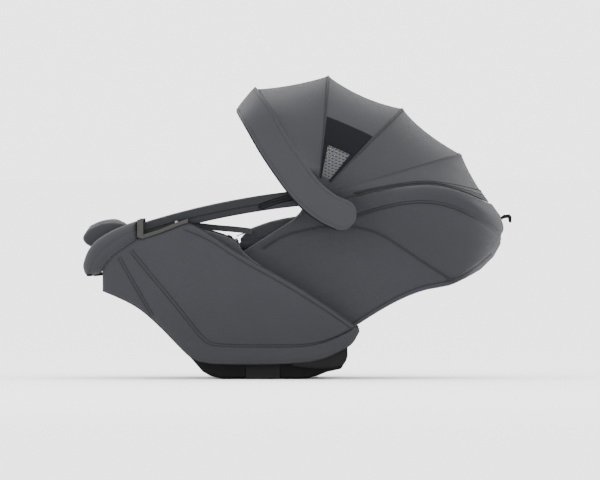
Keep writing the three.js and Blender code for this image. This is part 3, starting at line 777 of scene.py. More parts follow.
# %% Rails
ARC = (212.0, -1148.6, 1500.0)  # middle (x, z) and radius of the rail's centre line
HUB = np.array([95.0, 350.0])
HINGE = np.array([92.0, 86.0])
TALL = 14.3  # half the rail's height
RAIL_SECTION = [
    (-TALL, 181), (-TALL, 189.5), (-TALL + 1.0, 191.8), (-TALL + 3.2, 192.9), (-3.2, 192.9),
    (-2.2, 191.7), (-1.0, 191.7), (0.0, 192.9), (TALL - 3.2, 192.9), (TALL - 1.0, 191.8),
    (TALL, 189.5), (TALL, 181), (TALL - 1, 180.1), (-TALL + 1, 180.1)]
SLOT_HALF = 5.9
SLOT_CORNERS = ((SLOT_HALF, 170), (SLOT_HALF, 205), (-SLOT_HALF, 205), (-SLOT_HALF, 170))


def rail_rows(side):
    rows = []
    for x in np.linspace(-238.0, 103.0, 60):
        z = ARC[1] + math.sqrt(ARC[2] ** 2 - (x - ARC[0]) ** 2)
        up = np.array([x - ARC[0], z - ARC[1]]) / ARC[2]
        rows.append([(x + up[0] * k, side * y, z + up[1] * k) for k, y in RAIL_SECTION])
    return rows


def cutter_cylinder(x, z, radius, side):
    select()
    bpy.ops.mesh.primitive_cylinder_add(
        vertices=32, radius=radius * MM, depth=0.04, location=(x * MM, side * 0.187, z * MM),
        rotation=(math.pi / 2, 0, 0))
    obj = bpy.context.object
    bpy.ops.object.transform_apply(location=True, rotation=True, scale=True)
    return obj


def hub_path(turn):
    a = HUB - HINGE
    c, s = math.cos(turn), math.sin(turn)
    return HINGE + np.array([a[0] * c - a[1] * s, a[0] * s + a[1] * c])


def slot_way(start, end, count):
    """The pin's path between two turns in degrees, and the outward directions along it."""
    turns = np.linspace(math.radians(start), math.radians(end), count)
    way = np.array([hub_path(t) for t in turns])
    return way, (way - HINGE) / np.linalg.norm(way - HINGE, axis=1)[:, None]


def cut_away(obj, cutter, operation="DIFFERENCE"):
    tool = obj.modifiers.new("cut", "BOOLEAN")
    tool.operation, tool.solver, tool.object = operation, "EXACT", cutter
    apply_all(obj)
    bpy.data.objects.remove(cutter)


def make_rail(label, side):
    rail = grid(f"side_rail_bar_{label}", rail_rows(side), closed=True, ends=True)
    eye = cutter_cylinder(HUB[0], HUB[1] - 2, 16.0, side)
    for v in eye.data.vertices:
        v.co.y = side * (0.1801 if abs(v.co.y) < 0.187 else 0.1928)
    cut_away(rail, eye, "UNION")
    way, radial = slot_way(0, 24, 12)
    slot_rows = [[(*(p + r * reach), y) for reach, y in SLOT_CORNERS] for p, r in zip(way, radial)]
    slot_rows = [[(q[0], side * q[2], q[1]) for q in row] for row in slot_rows]
    cut_away(rail, grid("slot_cutter", slot_rows, closed=True, ends=True))
    for x, z in (way[0], way[-1]):
        cut_away(rail, cutter_cylinder(x, z, SLOT_HALF + 0.05, side))
    select(rail)
    bpy.ops.object.shade_smooth_by_angle(angle=math.radians(30))
    apply_all(rail)
    place(rail, rail_metal, "rail_metal", "seat", stands_for=[f"side_rail_{label}"])


def make_rivet(label, side):
    select()
    bpy.ops.mesh.primitive_uv_sphere_add(segments=20, ring_count=10, radius=0.0034,
                                         location=(-0.174, side * 0.1928, 0.2985))
    rivet = bpy.context.object
    rivet.name = f"rail_rivet_{label}"
    bpy.ops.object.transform_apply(location=True, rotation=True, scale=True)
    for v in rivet.data.vertices:
        v.co.y = side * 0.1926 + (v.co.y - side * 0.1928) * 0.4
    rivet.data.shade_smooth()
    place(rivet, steel, "steel", "seat")


def make_lips(label, side):
    way, radial = slot_way(0.7, 25.6, 40)
    for edge, a, b in (("upper", 5.8, 0.15), ("lower", -0.15, -5.8)):
        corners = ((a, 185.2), (a, 186.0), (b, 186.0), (b, 185.2))
        rows = [[(p[0] + r[0] * k, side * y, p[1] + r[1] * k) for k, y in corners]
                for p, r in zip(way, radial)]
        lip = grid(f"slot_lip_{edge}_{label}", rows, closed=True, ends=True)
        place(lip, rail_metal, "rail_metal", "seat")


for label, side in SIDES:
    make_rail(label, side)
    make_rivet(label, side)
    make_lips(label, side)
print("rails with slots, dust lips and rivets")

# %% [markdown]
# ## Back shell cover
# One cloth cover runs along the left wall, round the head and back along the right wall. It
# is rolled over the rim, full at the collar under the canopy, and dips along a double seam.

# %% Shape of the cover
rim_line = height_over([(-59, 235), (-40, 248), (11, 281), (45, 302), (60, 314), (70, 332),
                        (80, 350), (95, 360), (112, 356), (128, 348), (146, 343), (204, 359),
                        (271, 370), (321, 371), (370, 359), (426, 336)])
hem_line = height_over([(-59, 226), (-40, 197), (-25, 152), (0, 112), (30, 85), (60, 70), (92, 66),
                        (120, 74), (169, 102), (201, 123), (246, 149), (292, 168), (325, 174),
                        (358, 180), (404, 205)])
COLLAR_SEAM = smooth_line([(150, 300), (170, 310), (216, 324), (261, 334), (307, 336), (352, 327),
                           (398, 304), (446, 270)], 160)
COLLAR_SEAM2 = COLLAR_SEAM + np.array([0.6, 4.8])
CREASE = smooth_line([(-9, 249), (29, 274), (86, 287), (130, 291), (171, 290), (216, 276),
                      (257, 249), (307, 215), (350, 188)], 200)
FRONT_SEAM = smooth_line([(-52, 231), (-38, 241), (12, 275), (46, 296), (62, 312)], 60)
HEM_SEAM = smooth_line([(160, 106), (201, 132), (246, 158), (292, 177), (325, 183), (357, 190),
                        (394, 212), (424, 236), (446, 262)], 140)
HEAD_START = 330.0
HEAD_REACH = np.array([74, 101, 116, 119, 114, 96], float)


def back_face(x, z):
    over = (x - 171) * 0.508 + (z - 298) * 0.861
    return 160 + 32 * smoothstep(over / 92)


def cover_place(s, t, inset):
    """A point of the cover: s from 0 at the left front to 1 at the right, t from hem to rim."""
    side = -1.0 if s < 0.5 else 1.0
    u = 1 - abs(2 * s - 1)  # 0 at a front end, 1 behind the head
    if u < 0.6:
        x = -58 + (HEAD_START + 58) * (u / 0.6)
        low, high = float(hem_line(x)), float(rim_line(x))
        z = low + (high - low) * t
        return x, side * (back_face(x, z) - inset), z
    turn = (u - 0.6) / 0.4 * math.pi / 2
    forward, across = math.sin(turn) ** 0.75, math.cos(turn) ** 0.75
    reach = np.interp(t, np.linspace(0, 1, len(HEAD_REACH)), HEAD_REACH)
    x = HEAD_START + (reach - inset) * forward
    low = float(hem_line(HEAD_START + HEAD_REACH[0] * forward))
    high = float(rim_line(HEAD_START + HEAD_REACH[5] * forward))
    z = low + (high - low) * t
    return x, side * across * (back_face(x, z) - inset), z


print("cover from", HEAD_START + HEAD_REACH.max(), "mm back to the front ends")

# %% [markdown]
# The cover is drawn as rings, one for each station: up the outer face from hem to rim, over
# the rim and down the inside. The outer face dips along the seams and swells above the collar.

# %% The cover's surface
COLUMNS, WALL, ROLL = 200, 15.0, 7.4


def groove(line, x, z, depth, width):
    return depth * math.exp(-((float(distance_to(line, x, z)) / width) ** 2))


def arc(t):
    return math.sqrt(max(0.0, 1 - t ** 2))


def fullness(x, z):
    """How far the padded roll above the collar seam stands out."""
    above = z - float(np.interp(x, COLLAR_SEAM2[:, 0], COLLAR_SEAM2[:, 1]))
    if above <= -2:
        return 0.0
    full = 6.5 * math.exp(-(((above - 17) / 12) ** 2)) * float(smoothstep((x - 210) / 55))
    return full * (1 - 0.6 * float(smoothstep((x - 385) / 45)))


def outer_inset(s, t):
    x, _, z = cover_place(s, t, 0)
    dip = max(groove(line, x, z, 2.4, 3.2) for line in (COLLAR_SEAM, COLLAR_SEAM2))
    dip += groove(CREASE, x, z, 3.2, 7.0)
    dip += groove(HEM_SEAM, x, z, 1.8, 3.2)
    edge = ROLL * (1 - arc(1 - min(1.0, t / 0.03)))
    edge += ROLL * (1 - arc(max(0.0, t - 0.955) / 0.045))
    return dip - fullness(x, z) + edge


def cover_rows():
    waves = np.cos(np.linspace(0, math.pi, COLUMNS))
    rows = []
    for s in 0.5 - 0.5 * waves * 0.12 - 0.5 * np.linspace(1, -1, COLUMNS) * 0.88:
        u = 1 - abs(2 * s - 1)
        short = WALL / 2 * (1 - arc(1 - min(1.0, u / 0.012)))  # rounds the front ends
        ring = [cover_place(s, t, outer_inset(s, t) + short)
                for t in np.r_[0.0, np.linspace(0.012, 0.975, 104)]]
        ring.append(cover_place(s, 1.0, WALL / 2))
        for t in (0.975, 0.93, 0.8, 0.6, 0.4, 0.2, 0.05, 0.0):
            bulge = 1.5 if t in (0.975, 0.0) else 0
            ring.append(cover_place(s, t, WALL - bulge - short))
        rows.append(ring)
    return np.array(rows)


back_cover = grid("back_cover", cover_rows(), closed=True, ends=True)
place(back_cover, cover_cloth, "cover_cloth", "back",
      stands_for=["back_wall_left", "back_wall_right", "head_wall"])


def on_cover(line, lift):
    """A side-view line laid on the outside of the cover, as points and normals, left half."""
    x = line[:, 0]
    keep = x < HEAD_START + 96
    p = line[keep]
    y = -(back_face(p[:, 0], p[:, 1]) + lift)
    beyond = np.maximum(0, (p[:, 0] - HEAD_START) / 112)
    y = y * np.maximum(1 - np.clip(beyond, 0, 0.99) ** (2 / 0.75), 0.01) ** 0.375
    normal = np.stack([np.clip(beyond, 0, 1) * 1.2, -np.ones_like(y), 0.1 + 0 * y], 1)
    return np.stack([p[:, 0], y, p[:, 1]], 1), normal


for label, side in SIDES:
    lines = []
    for line in (COLLAR_SEAM, COLLAR_SEAM2, HEM_SEAM, FRONT_SEAM):
        points, normal = on_cover(line, -1.3)
        lines.append((points * [1, -side, 1], normal * [1, -side, 1]))
    place(seam_stitches(f"cover_thread_{label}", lines), thread, "cover_cloth", "back")
    # dark cords along the cover's seams: painted shade in the seam folds
    folds = seam_cords(f"cover_folds_{label}", [points for points, _ in lines])
    place(folds, seam_shadow, "cover_cloth", "back")
    # a soft darker cord along the crease: painted shade where the surface turns
    crease = on_cover(CREASE, -1.2)[0] * [1, -side, 1]
    place(seam_cords(f"cover_crease_{label}", [crease], 1.0), crease_shade_cloth, "cover_cloth", "back")
print("back cover:", len(back_cover.data.vertices), "points")

# %% [markdown]
# ## Carry handle and its cloth cover
# The handle is one arch: an arm on each side of the hub and a flat top. Its stations give
# the middle of the band, and the direction that it is wide in. The cloth sleeve over it has a
# turned hem along both edges, sewn 5 mm in.

# %% Handle stations
ARM_LINE = [(141, 313), (113, 325), (81, 350), (52, 386), (14, 441), (-8, 480)]
BAND_TOP = np.array([-35.0, 528.0])
ARM_MID, BAND = 201.5, 54.0


def handle_stations(arm_count=34, corner_count=22):
    arm = smooth_line(ARM_LINE, arm_count)
    tail = unit(arm[0] - arm[1])
    found = []
    for a in np.radians([86, 78, 70, 60, 50, 40, 30, 20, 10]):
        p = arm[0] + tail * BAND / 2 * math.sin(a)
        found.append((p[0], -ARM_MID, p[1], -tail[1], tail[0], math.cos(a)))
    for i, p in enumerate(arm):
        d = heading(arm, i)
        found.append((p[0], -ARM_MID, p[1], d[1], -d[0], 1.0))
    last = np.array(found[-1])
    for a in np.linspace(0, math.pi / 2, corner_count + 1)[1:]:
        up = math.sin(a) ** 0.8
        w = unit(last[3:5] * (1 - up) + np.array([0.634, 0.773]) * up)
        p = last[[0, 2]] * (1 - up) + BAND_TOP * up
        found.append((p[0], -ARM_MID * max(0.0, math.cos(a)) ** 0.8, p[1], w[0], w[1], 1.0))
    half = np.array(found)
    half[-1, 1] = 0.0
    return np.vstack([half, half[:-1][::-1] * [1, -1, 1, 1, 1, 1]])


STATIONS = handle_stations()


def band_rows(section, stations=STATIONS):
    """Rows of a band: section lists (mm across, height) round its edge."""
    P, W, share = stations[:, :3], stations[:, [3, 4]], stations[:, 5]
    rows = []
    for i in range(len(stations)):
        d = P[min(i + 1, len(P) - 1)] - P[max(i - 1, 0)]
        wide = np.array([W[i, 0], 0, W[i, 1]])
        out = unit(np.cross(d, wide))
        if np.dot(out, P[i] - np.array([40, 0, 400])) < 0:
            out = -out
        slim = 0.35 + 0.65 * share[i]
        rows.append([P[i] + wide * a * share[i] + out * (h * slim + (1 - share[i]) * 2.2)
                     for a, h in section])
    return rows


def band_section(half, low, high, dips=()):
    """A flat strip's section with rounded edges and sewn dips, from low to high."""
    mid, r = (low + high) / 2, (high - low) / 2
    turns = np.radians([35, 65, 90, 115, 145])

    def crowned(a):
        sewn = sum(depth * math.exp(-((abs(a) - at) / 1.3) ** 2) for at, depth in dips)
        return high + 0.9 * (1 - (a / half) ** 2) - sewn

    top = [(a, crowned(a)) for a in np.linspace(-half + r, half - r, 31)]
    right = [(half - r + r * math.sin(t), mid + r * math.cos(t)) for t in turns]
    under = [(a, low) for a in np.linspace(half - r, -half + r, 9)]
    left = [(-half + r - r * math.sin(t), mid - r * math.cos(t)) for t in turns]
    return top + right + under + left


HEM_AT = 23.6  # the sleeve's rows of thread, from its middle
sleeve_section = band_section(29.3, 6.6, 11.4, ((HEM_AT, 0.9), (27.4, 0.5)))
sleeve = grid("handle_sleeve", band_rows(sleeve_section), closed=True, ends=True)
place(sleeve, canopy_cloth, "cover_cloth", "handle", stands_for=["handle_cover"])
arch = grid("handle_arch", band_rows(band_section(26.8, -5.4, 5.6)), closed=True, ends=True)
place(arch, black_plastic, "black_plastic", "handle", stands_for=["carry_handle"])
lip_section = [(a - 29.6, h) for a, h in band_section(2.4, 0.0, 8.0)]
lip = grid("handle_lip", band_rows(lip_section, STATIONS[9:-9]), closed=True, ends=True)
place(lip, blind_cloth, "cover_cloth", "handle")
grip_rows = band_rows(band_section(21, -9.2, -5.6), STATIONS[52:-52])
inner_grip = grid("handle_grip_pad", grip_rows, closed=True, ends=True)
place(inner_grip, shell_plastic, "black_plastic", "handle")


def band_thread(offset, rise):
    rows = np.array(band_rows([(offset, rise), (offset, rise + 1)]))
    keep = slice(7, len(rows) - 7)
    return rows[keep, 0], rows[keep, 1] - rows[keep, 0]


sleeve_lines = [band_thread(-HEM_AT, 10.9), band_thread(HEM_AT, 10.9)]
place(seam_stitches("sleeve_thread", sleeve_lines), thread, "cover_cloth", "handle")
print("handle stations", len(STATIONS))

# %% [markdown]
# ## Canopy
# Four cloth panels are stretched between the handle sleeve, three hoops and the collar. Each
# is cut hollow, so it sags towards the hub between the hoops, and each is listed with the two
# bodies that hold its edges.

# %% Hoops and edges
# angle in degrees, radius from the hub's axis and distance from the middle at the hub
HOOPS = {"front": (85.0, 224.0, 170.8), "middle": (45.4, 227.0, 166.8),
         "rear": (15.6, 281.0, 162.8)}


def arch_place(angle, radius, half, level, u, lift):
    """A point of an arch from the hub: u from 0 at the hub to 1 on top."""
    leg, straight, power = 0.38, 0.42, 0.78
    if u < leg:
        k = u / leg
        r = radius * straight * k
        y = level + (half - level) * float(smoothstep((k - 0.36) / 0.64)) + lift
    else:
        phi = (u - leg) / (1 - leg) * math.pi / 2
        r = radius * (straight + (1 - straight) * math.sin(phi) ** power) + lift * math.sin(phi)
        y = half * max(0.0, math.cos(phi)) ** power + lift * math.cos(phi)
    a = math.radians(angle)
    return np.array([HUB[0] + r * math.cos(a), y, HUB[1] + r * math.sin(a)])


def over_hoop(name, lift):
    angle, radius, level = HOOPS[name]
    return lambda u: arch_place(angle, radius, 171, level, u, lift)


def band_edge():
    """The line just behind the arch's rear edge, from beside the hub to the top."""
    line = np.array([row[0] for row in band_rows([(27.7, 4.2), (27.7, 5.0)])])
    line = line[: len(STATIONS) // 2 + 1]
    start = int(np.argmin(np.hypot(line[9:, 0] - 75, line[9:, 2] - 402))) + 9
    line = line[start:] * [1, -1, 1]
    line[-1, 1] = 0.0
    step = steps_along(line)
    return line, step / step[-1]


EDGE_LINE, EDGE_STEP = band_edge()


def sleeve_edge(u):
    if u < 0.22:
        k = u / 0.22
        p = np.array([HUB[0], 178.0, HUB[1]]) * (1 - k) + EDGE_LINE[0] * k
        p[1] = 178 + (EDGE_LINE[0, 1] - 178) * float(smoothstep((k - 0.58) / 0.42))
        return p
    k = (u - 0.22) / 0.78
    return np.array([np.interp(k, EDGE_STEP, EDGE_LINE[:, i]) for i in range(3)])


def collar_edge(u):
    if u < 0.5:
        x = 96 + (HEAD_START - 96) * (u / 0.5)
        return np.array([x, back_face(x, float(rim_line(x))) - 5.5, float(rim_line(x)) + 0.4])
    turn = (u - 0.5) / 0.5 * math.pi / 2
    x = HEAD_START + (HEAD_REACH[5] - 5.5) * math.sin(turn) ** 0.75
    z = float(rim_line(HEAD_START + HEAD_REACH[5] * math.sin(turn) ** 0.75))
    return np.array([x, max(0.0, math.cos(turn)) ** 0.75 * (back_face(x, z) - 5.5), z + 0.4])


def clamp(t):
    return min(max(t, 0), 1)


def panel_grid(edge_a, edge_b, us, ks, sag, straighten=0.0):
    """Points [u][k] of one half: k runs from edge a to edge b.

    straighten lifts the rows near the window.
    """
    rows = []
    for at in us:
        row = []
        for k in ks:
            hollow = (4 * k * (1 - k)) ** 0.8
            u = at + straighten * hollow * clamp((at - 0.3) / 0.2) * clamp((0.85 - at) / 0.3)
            a, b = edge_a(u), edge_b(u)
            p = a * (1 - k) + b * k
            away = np.array([p[0] - HUB[0], 0, p[2] - HUB[1]])
            r = np.linalg.norm(away)
            pull = sag * hollow * math.sin(math.pi / 2 * min(1, u * 1.15)) ** 1.2
            inward = np.array([0, 0.18 * pull * min(1, p[1] / 120), 0])
            row.append(p - away / max(r, 1) * min(pull, r * 0.4) - inward)
        rows.append(row)
    return np.array(rows)


def whole(half_rows):
    """Mirrors the left half of a panel to the right, meeting at the top."""
    left = half_rows * [1, -1, 1]
    return np.concatenate([left, half_rows[:-1][::-1]], 0)


def sector(angle_a, angle_b, reach=85):
    """Start and end points of the fold between two angles, near the hub."""
    point = [(HUB + reach * np.array([math.cos(math.radians(a)), math.sin(math.radians(a))])) * MM
             for a in (angle_a, angle_b)]
    return tuple((p[0], 0.0, p[1]) for p in point)


def joined(name, patches):
    """Several grids of points as one welded mesh."""
    piece = join(name, [grid(f"{name}_{i}", p) for i, p in enumerate(patches)])
    weld(piece, 1e-5)
    return piece


def cloth_panel(name, patches, finish, slot, fold, cad, thickness=1.3):
    piece = joined(name, patches)
    area = sum(p.area for p in piece.data.polygons)
    width, height = (max(float(np.linalg.norm(np.diff(p, axis=way), axis=2).sum(way).max()) * MM
                         for p in patches) for way in (0, 1))
    if area > width * height:  # a panel with legs is wider than any one patch
        width = area / height * 1.04
    thicken(piece, thickness)
    place(piece, finish, slot, between=fold, stands_for=cad)
    print(f"{name}: {width:.3f} by {height:.3f} m, {area:.4f} m2")
    return piece


US = np.linspace(0.035, 1.0, 84)
KS = np.linspace(0.0, 1.0, 25)
FOLDS = {
    "front": ("hoop_front", "handle", *sector(85, 121.9)),
    "top": ("hoop_middle", "hoop_front", *sector(45.4, 85)),
    "back": ("hoop_rear", "hoop_middle", *sector(15.6, 45.4)),
    "neck": ("back", "hoop_rear", *sector(-4, 15.6)),
}
LIFT = 4.2
front_edge, middle_edge, rear_edge = (over_hoop(name, LIFT) for name in HOOPS)
for name, edge_a, edge_b, sag in (("front", front_edge, sleeve_edge, 4.5),
                                  ("back", rear_edge, middle_edge, 8.5),
                                  ("neck", collar_edge, rear_edge, 4.0)):
    cloth_panel(f"canopy_{name}", [whole(panel_grid(edge_a, edge_b, US, KS, sag))], canopy_cloth,
                "cover_cloth", FOLDS[name], [f"canopy_panel_{name}"])

# %% [markdown]
# The top panel has a window on each side: an open net low down, a blind of black cloth over
# its upper part, and a black binding along both sides of it.

# %% Top panel with its windows
WINDOW_LOW, WINDOW_MID, WINDOW_HIGH = 0.17, 0.385, 0.505
K0, K1 = 0.055, 0.945
US_LOW = np.linspace(0.035, WINDOW_LOW, 14)
US_MID = np.linspace(WINDOW_LOW, WINDOW_HIGH, 25)
US_HIGH = np.linspace(WINDOW_HIGH, 1.0, 46)
KS_TOP = np.concatenate([np.linspace(0, K0, 4), np.linspace(K0, K1, 23)[1:-1],
                         np.linspace(K1, 1, 4)])
SAG_TOP = 9.5


def top_patch(us, ks, side=1, out=0.0):
    rows = panel_grid(middle_edge, front_edge, us, ks, SAG_TOP, 0.034)
    away = rows - np.array([HUB[0] + 40, 0, HUB[1] - 60])
    rows = rows + away / np.linalg.norm(away, axis=2)[..., None] * out
    return rows * [1, side, 1]


patches = [whole(top_patch(US_HIGH, KS_TOP))]
for side in (-1, 1):
    patches.append(top_patch(US_LOW, KS_TOP, side))
    patches += [top_patch(US_MID, ks, side) for ks in (KS_TOP[:4], KS_TOP[-4:])]
cloth_panel("canopy_top", patches, canopy_cloth, "cover_cloth", FOLDS["top"], ["canopy_panel_top"])
OVER = 0.008  # how far the net and the blind run on behind the cloth, in u
for label, side in SIDES:
    net = top_patch(np.linspace(WINDOW_LOW - OVER, WINDOW_MID + OVER, 30),
                    np.linspace(K0 - 0.01, K1 + 0.01, 25), side, -0.9)
    cloth_panel(f"window_net_{label}", [net], net_cloth, "window_mesh", FOLDS["top"],
                [f"window_mesh_{label}"], 0.25)
    blind = top_patch(np.linspace(WINDOW_MID, WINDOW_HIGH + OVER, 16),
                      np.linspace(K0 - 0.015, K1 + 0.015, 25), side, 0.9)
    low_us = np.linspace(WINDOW_LOW - 0.03, WINDOW_MID, 20)
    binding = [top_patch(low_us, np.linspace(k0, k1, 5), side, 0.9)
               for k0, k1 in ((K0 - 0.015, K0 + 0.11), (K1 - 0.11, K1 + 0.015))]
    cloth_panel(f"window_blind_cloth_{label}", [blind, *binding], blind_cloth, "window_blind",
                FOLDS["top"], [f"window_blind_{label}"], 0.9)
print("canopy panels, nets and blinds")

# %% [markdown]
# Piping is sewn along every hoop, and the neck panel ends in a doubled hem with two rows of
# stitches just above the collar.

# %% Piping and hem
HOOP_SEAM = math.degrees(2.6 / 190)  # the turn from a hoop's piping to its thread
HEM_MIDDLE = np.array([HUB[0] + 120, 0, HUB[1] - 60])
for name, (angle, radius, level) in HOOPS.items():
    edge = over_hoop(name, LIFT + 0.5)
    half = np.array([edge(u) for u in np.linspace(0.14, 1.0, 70)])
    rear = name == "rear"
    place(tube(f"hoop_piping_{name}", whole(half[:, None])[:, 0], 1.0 if rear else 1.35),
          canopy_cloth if rear else piping_cloth, "cover_cloth", f"hoop_{name}")
    lines = []
    for turn in (-1, 1):
        row = np.array([arch_place(angle + HOOP_SEAM * turn, radius, 171, level, u, LIFT + 0.55)
                        for u in np.linspace(0.3, 1.0, 60)])
        line = whole(row[:, None])[:, 0]
        lines.append((line, line - np.array([HUB[0], 0, HUB[1]])))
    stitches = seam_stitches(f"hoop_thread_{name}", lines, rise=0.3)
    place(stitches, thread, "cover_cloth", f"hoop_{name}")


def hem_band(k0, k1, lift):
    rows = panel_grid(collar_edge, rear_edge, np.linspace(0.16, 1.0, 80), np.linspace(k0, k1, 7),
                      4.0)
    full = whole(rows)
    away = full - HEM_MIDDLE
    return full + away / np.linalg.norm(away, axis=2)[..., None] * lift


hem = grid("canopy_hem", hem_band(0.0, 0.24, 0.9))
thicken(hem, 1.6)
place(hem, canopy_cloth, "cover_cloth", between=FOLDS["neck"])
hem_rows = [hem_band(k, k + 0.02, 2.1)[:, 0] for k in (0.06, 0.13, 0.24)]
# dark cords along the hem's rows: painted shade in the folds of the doubled hem
place(seam_cords("hem_seam_shade", hem_rows, 0.7), seam_shadow, "cover_cloth", between=FOLDS["neck"])
hem_thread = seam_stitches("hem_thread", [(row, row - HEM_MIDDLE) for row in hem_rows], rise=0.3)
place(hem_thread, thread, "cover_cloth", between=FOLDS["neck"])
print("canopy pieces done")

# %% [markdown]
# ## Padded pieces
# Cushions, bolsters, the foot roll and the horns are stuffed cloth. Each starts from its
# solid, a little smaller, is remeshed into even squares and blown up as cloth with a capped
# swell, so the faces crown and the edges roll the way filled covers do.

# %% Inflate a pad
PRESSURE, FRAMES = 4.0, 20


def inflated(node, shrink, voxel, swell):
    obj = new_object(node + "_pad", nodes[node].data.copy())
    weld(obj, SAME_PLACE, normals=False)
    remesh = obj.modifiers.new("even", "REMESH")
    remesh.mode, remesh.voxel_size = "VOXEL", voxel * MM
    relax = obj.modifiers.new("relax", "SMOOTH")
    relax.factor, relax.iterations = 0.5, 6
    apply_all(obj)
    co = get_points(obj) - get_normals(obj) * shrink * MM
    set_points(obj, co)
    soft = obj.modifiers.new("cloth", "CLOTH")
    soft.settings.use_pressure = True
    soft.settings.uniform_pressure_force = PRESSURE
    soft.settings.effector_weights.gravity = 0
    soft.settings.quality = 4
    soft.collision_settings.use_collision = False
    for k in range(1, FRAMES + 1):
        bpy.context.scene.frame_set(k)
    apply_all(obj)
    bpy.context.scene.frame_set(1)
    move = get_points(obj) - co
    far = np.linalg.norm(move, axis=1)[:, None]
    set_points(obj, co + move * np.minimum(1, swell * MM / np.maximum(far, 1e-9)))
    finer = obj.modifiers.new("finer", "SUBSURF")
    finer.levels = finer.render_levels = 1
    apply_all(obj)
    obj.data.shade_smooth()
    return obj


def sew(obj, distance):
    """Press a sewn channel into a pad, where distance(x, y, z) in mm is small."""
    width, depth = 3.0, 2.2
    co = get_points(obj) / MM
    d = distance(co[:, 0], co[:, 1], co[:, 2])
    co -= get_normals(obj) * (depth * np.exp(-((d / width) ** 2)))[:, None]
    set_points(obj, co * MM)


def bolster_channel(x, y, z):
    return abs(z - (284 + (x - 60) * 0.12) + 8)


# each pad's node, finish, slot, body, most swell, and distance to its sewn channels
PADS = [
    ("leg_pad", liner_cloth, "liner_cloth", "seat", 3.0,
     lambda x, y, z: np.minimum(abs(abs(y) - 78), abs(x + 205))),
    ("seat_cushion", liner_cloth, "liner_cloth", "seat", 3.0,
     lambda x, y, z: np.minimum(abs(abs(y) - 84), abs(x + 34))),
    ("back_cushion", liner_cloth, "liner_cloth", "back", 2.5,
     lambda x, y, z: np.minimum(abs(abs(y) - 82), abs((x - 60) % 72 - 36))),
    ("side_bolster_left", liner_cloth, "liner_cloth", "back", 4.0, bolster_channel),
    ("side_bolster_right", liner_cloth, "liner_cloth", "back", 4.0, bolster_channel),
    ("headrest_pad", liner_cloth, "liner_cloth", "headrest", 2.5, lambda x, y, z: abs(abs(y) - 62)),
    ("shoulder_pad_left", liner_cloth, "liner_cloth", "back", 2.0, None),
    ("shoulder_pad_right", liner_cloth, "liner_cloth", "back", 2.0, None),
    ("foot_roll", cover_cloth, "cover_cloth", "seat", 5.0, lambda x, y, z: abs(abs(y) - 140)),
]
for node, finish, slot, body, swell, channels in PADS:
    small = "shoulder" in node
    pad = inflated(node, 1.0 if small else 1.6, 3.2 if small else 5.2, swell)
    if "bolster" in node:  # the foot end meets the seat's lining
        co = get_points(pad)
        co[:, 0] -= 0.008 * smoothstep(-co[:, 0] / 0.05)
        set_points(pad, co)
    if channels:
        sew(pad, channels)
    place(pad, finish, slot, body, stands_for=[node])
print("pads:", len(PADS))

# %% [markdown]
# The foot horns are the ends of the seat's rim: cloth drawn tight over foam, thick in the
# middle and rounded to the outline all round. They are boards with a large edge radius.

# %% Foot horns
horn_top = height_over([(-351.5, 219), (-349, 228), (-344, 242), (-334, 257), (-322, 268),
                        (-297, 283), (-272, 293.5), (-249, 301)])
horn_low = height_over([(-351.5, 213), (-349, 203), (-345, 197.5), (-334, 197.5), (-318, 202),
                        (-313, 211), (-297, 231), (-268, 251), (-249, 264)])
HORN_OUT, HORN_IN = 211.5, 164.5
hx = np.unique(np.concatenate([np.linspace(-351.5, -335, 24), np.linspace(-335, -249.2, 60)]))
horn_seam = smooth_line([(-338, 206), (-330, 228), (-306, 254), (-274, 274), (-249, 286)], 60)
HX, HZ, hface = panel_points(horn_low, horn_top, hx, 34, lambda z: HORN_OUT, 19.0,
                             [(horn_seam, 2.0, 1.2)], 1.5)
for label, side in SIDES:
    horn = board(f"horn_cover_{label}", side, HX, HZ, hface, HORN_IN + (HORN_OUT - hface) * 0.9)
    place(horn, cover_cloth, "cover_cloth", "seat", stands_for=[f"foot_horn_{label}"])
    select()
    bpy.ops.mesh.primitive_cube_add(size=1, location=(-0.3395, side * 0.188, 0.1985))
    tab = bpy.context.object
    tab.name = f"horn_tab_{label}"
    tab.scale = (0.011, 0.030, 0.005)
    bpy.ops.object.transform_apply(location=True, rotation=True, scale=True)
    soften = tab.modifiers.new("edge", "BEVEL")
    soften.width, soften.segments = 0.0018, 3
    apply_all(tab)
    tab.data.shade_smooth()
    place(tab, black_plastic, "black_plastic", "seat")
print("horn points", HX.size)

# %% [markdown]
# ## Harness
# Webbing is flat: 25 mm wide and under 2 mm thick, with rounded edges. The shoulder straps
# leave the back, arch over where the child's chest is and end at the buckle's tongues. Two
# padded edge bands of the liner run from the seat to the back, over the hinge.

# %% Straps
WEB_WIDTH, WEB_THICK = 25, 1.8


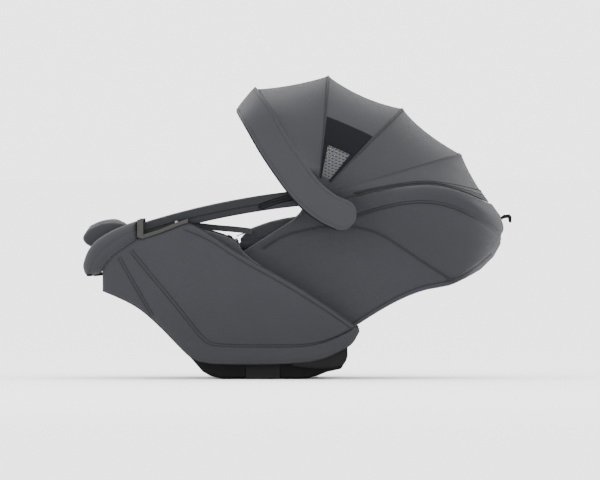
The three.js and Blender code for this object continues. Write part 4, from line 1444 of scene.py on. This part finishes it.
def ribbon(name, path, width, thickness, count):
    line = smooth_line(path, count, 3)
    h, w = thickness / 2, width / 2
    flat = np.linspace(-w * 0.8, w * 0.8, 5)
    section = [(-w, -h * 0.4), (-w + 0.6, -h)] + [(a, -h) for a in flat]
    section += [(w - 0.6, -h), (w, -h * 0.4), (w, h * 0.4), (w - 0.6, h)]
    section += [(a, h) for a in np.linspace(w * 0.8, -w * 0.8, 5)] + [(-w + 0.6, h), (-w, h * 0.4)]
    rows = []
    for i, p in enumerate(line):
        along = heading(line, i)
        up = unit(np.cross(along, (0, 1, 0)))
        across = np.cross(up, along)
        rows.append([p + across * a + up * b for a, b in section])
    return grid(name, rows, closed=True, ends=True)


for label, side in SIDES:
    shoulder = ribbon(f"shoulder_webbing_{label}",
                      [(238, side * 42, 190), (225, side * 43, 226), (188, side * 44, 262),
                       (120, side * 42, 283), (40, side * 33, 291), (-25, side * 22, 285),
                       (-58, side * 15, 272)], WEB_WIDTH, WEB_THICK, 60)
    place(shoulder, webbing, "webbing", between=("seat", "back", (-0.06, 0, 0.27), (0.14, 0, 0.28)),
          stands_for=[f"shoulder_strap_{label}"])
    hip = ribbon(f"hip_webbing_{label}",
                 [(-24, side * 100, 116), (-46, side * 88, 190), (-62, side * 44, 243),
                  (-67, side * 31, 251)], WEB_WIDTH, WEB_THICK, 36)
    place(hip, webbing, "webbing", "seat", stands_for=[f"hip_strap_{label}"])
for label, side in SIDES:
    edge = ribbon(f"liner_edge_{label}",
                  [(-176, side * 150, 286), (-140, side * 150, 292), (-101, side * 150, 287),
                   (-60, side * 149, 284), (-30, side * 147, 280)], 4.5, 9.5, 44)
    place(edge, canopy_cloth, "liner_cloth",
          between=("seat", "back", (-0.13, 0, 0.288), (-0.045, 0, 0.283)))
crotch = ribbon("crotch_webbing", [(-117, 0, 241), (-125, 0, 216), (-123, 0, 170),
                                   (-120, 0, 114)], 38, 2.0, 36)
place(crotch, webbing, "webbing", "seat", stands_for=["crotch_strap"])
pull = ribbon("adjuster_webbing", [(-198, 0, 192), (-218, 0, 209), (-240, 0, 226), (-258, 0, 238)],
              WEB_WIDTH, WEB_THICK, 30)
place(pull, webbing, "webbing", "seat", stands_for=["adjuster_strap"])
print("webbing done")
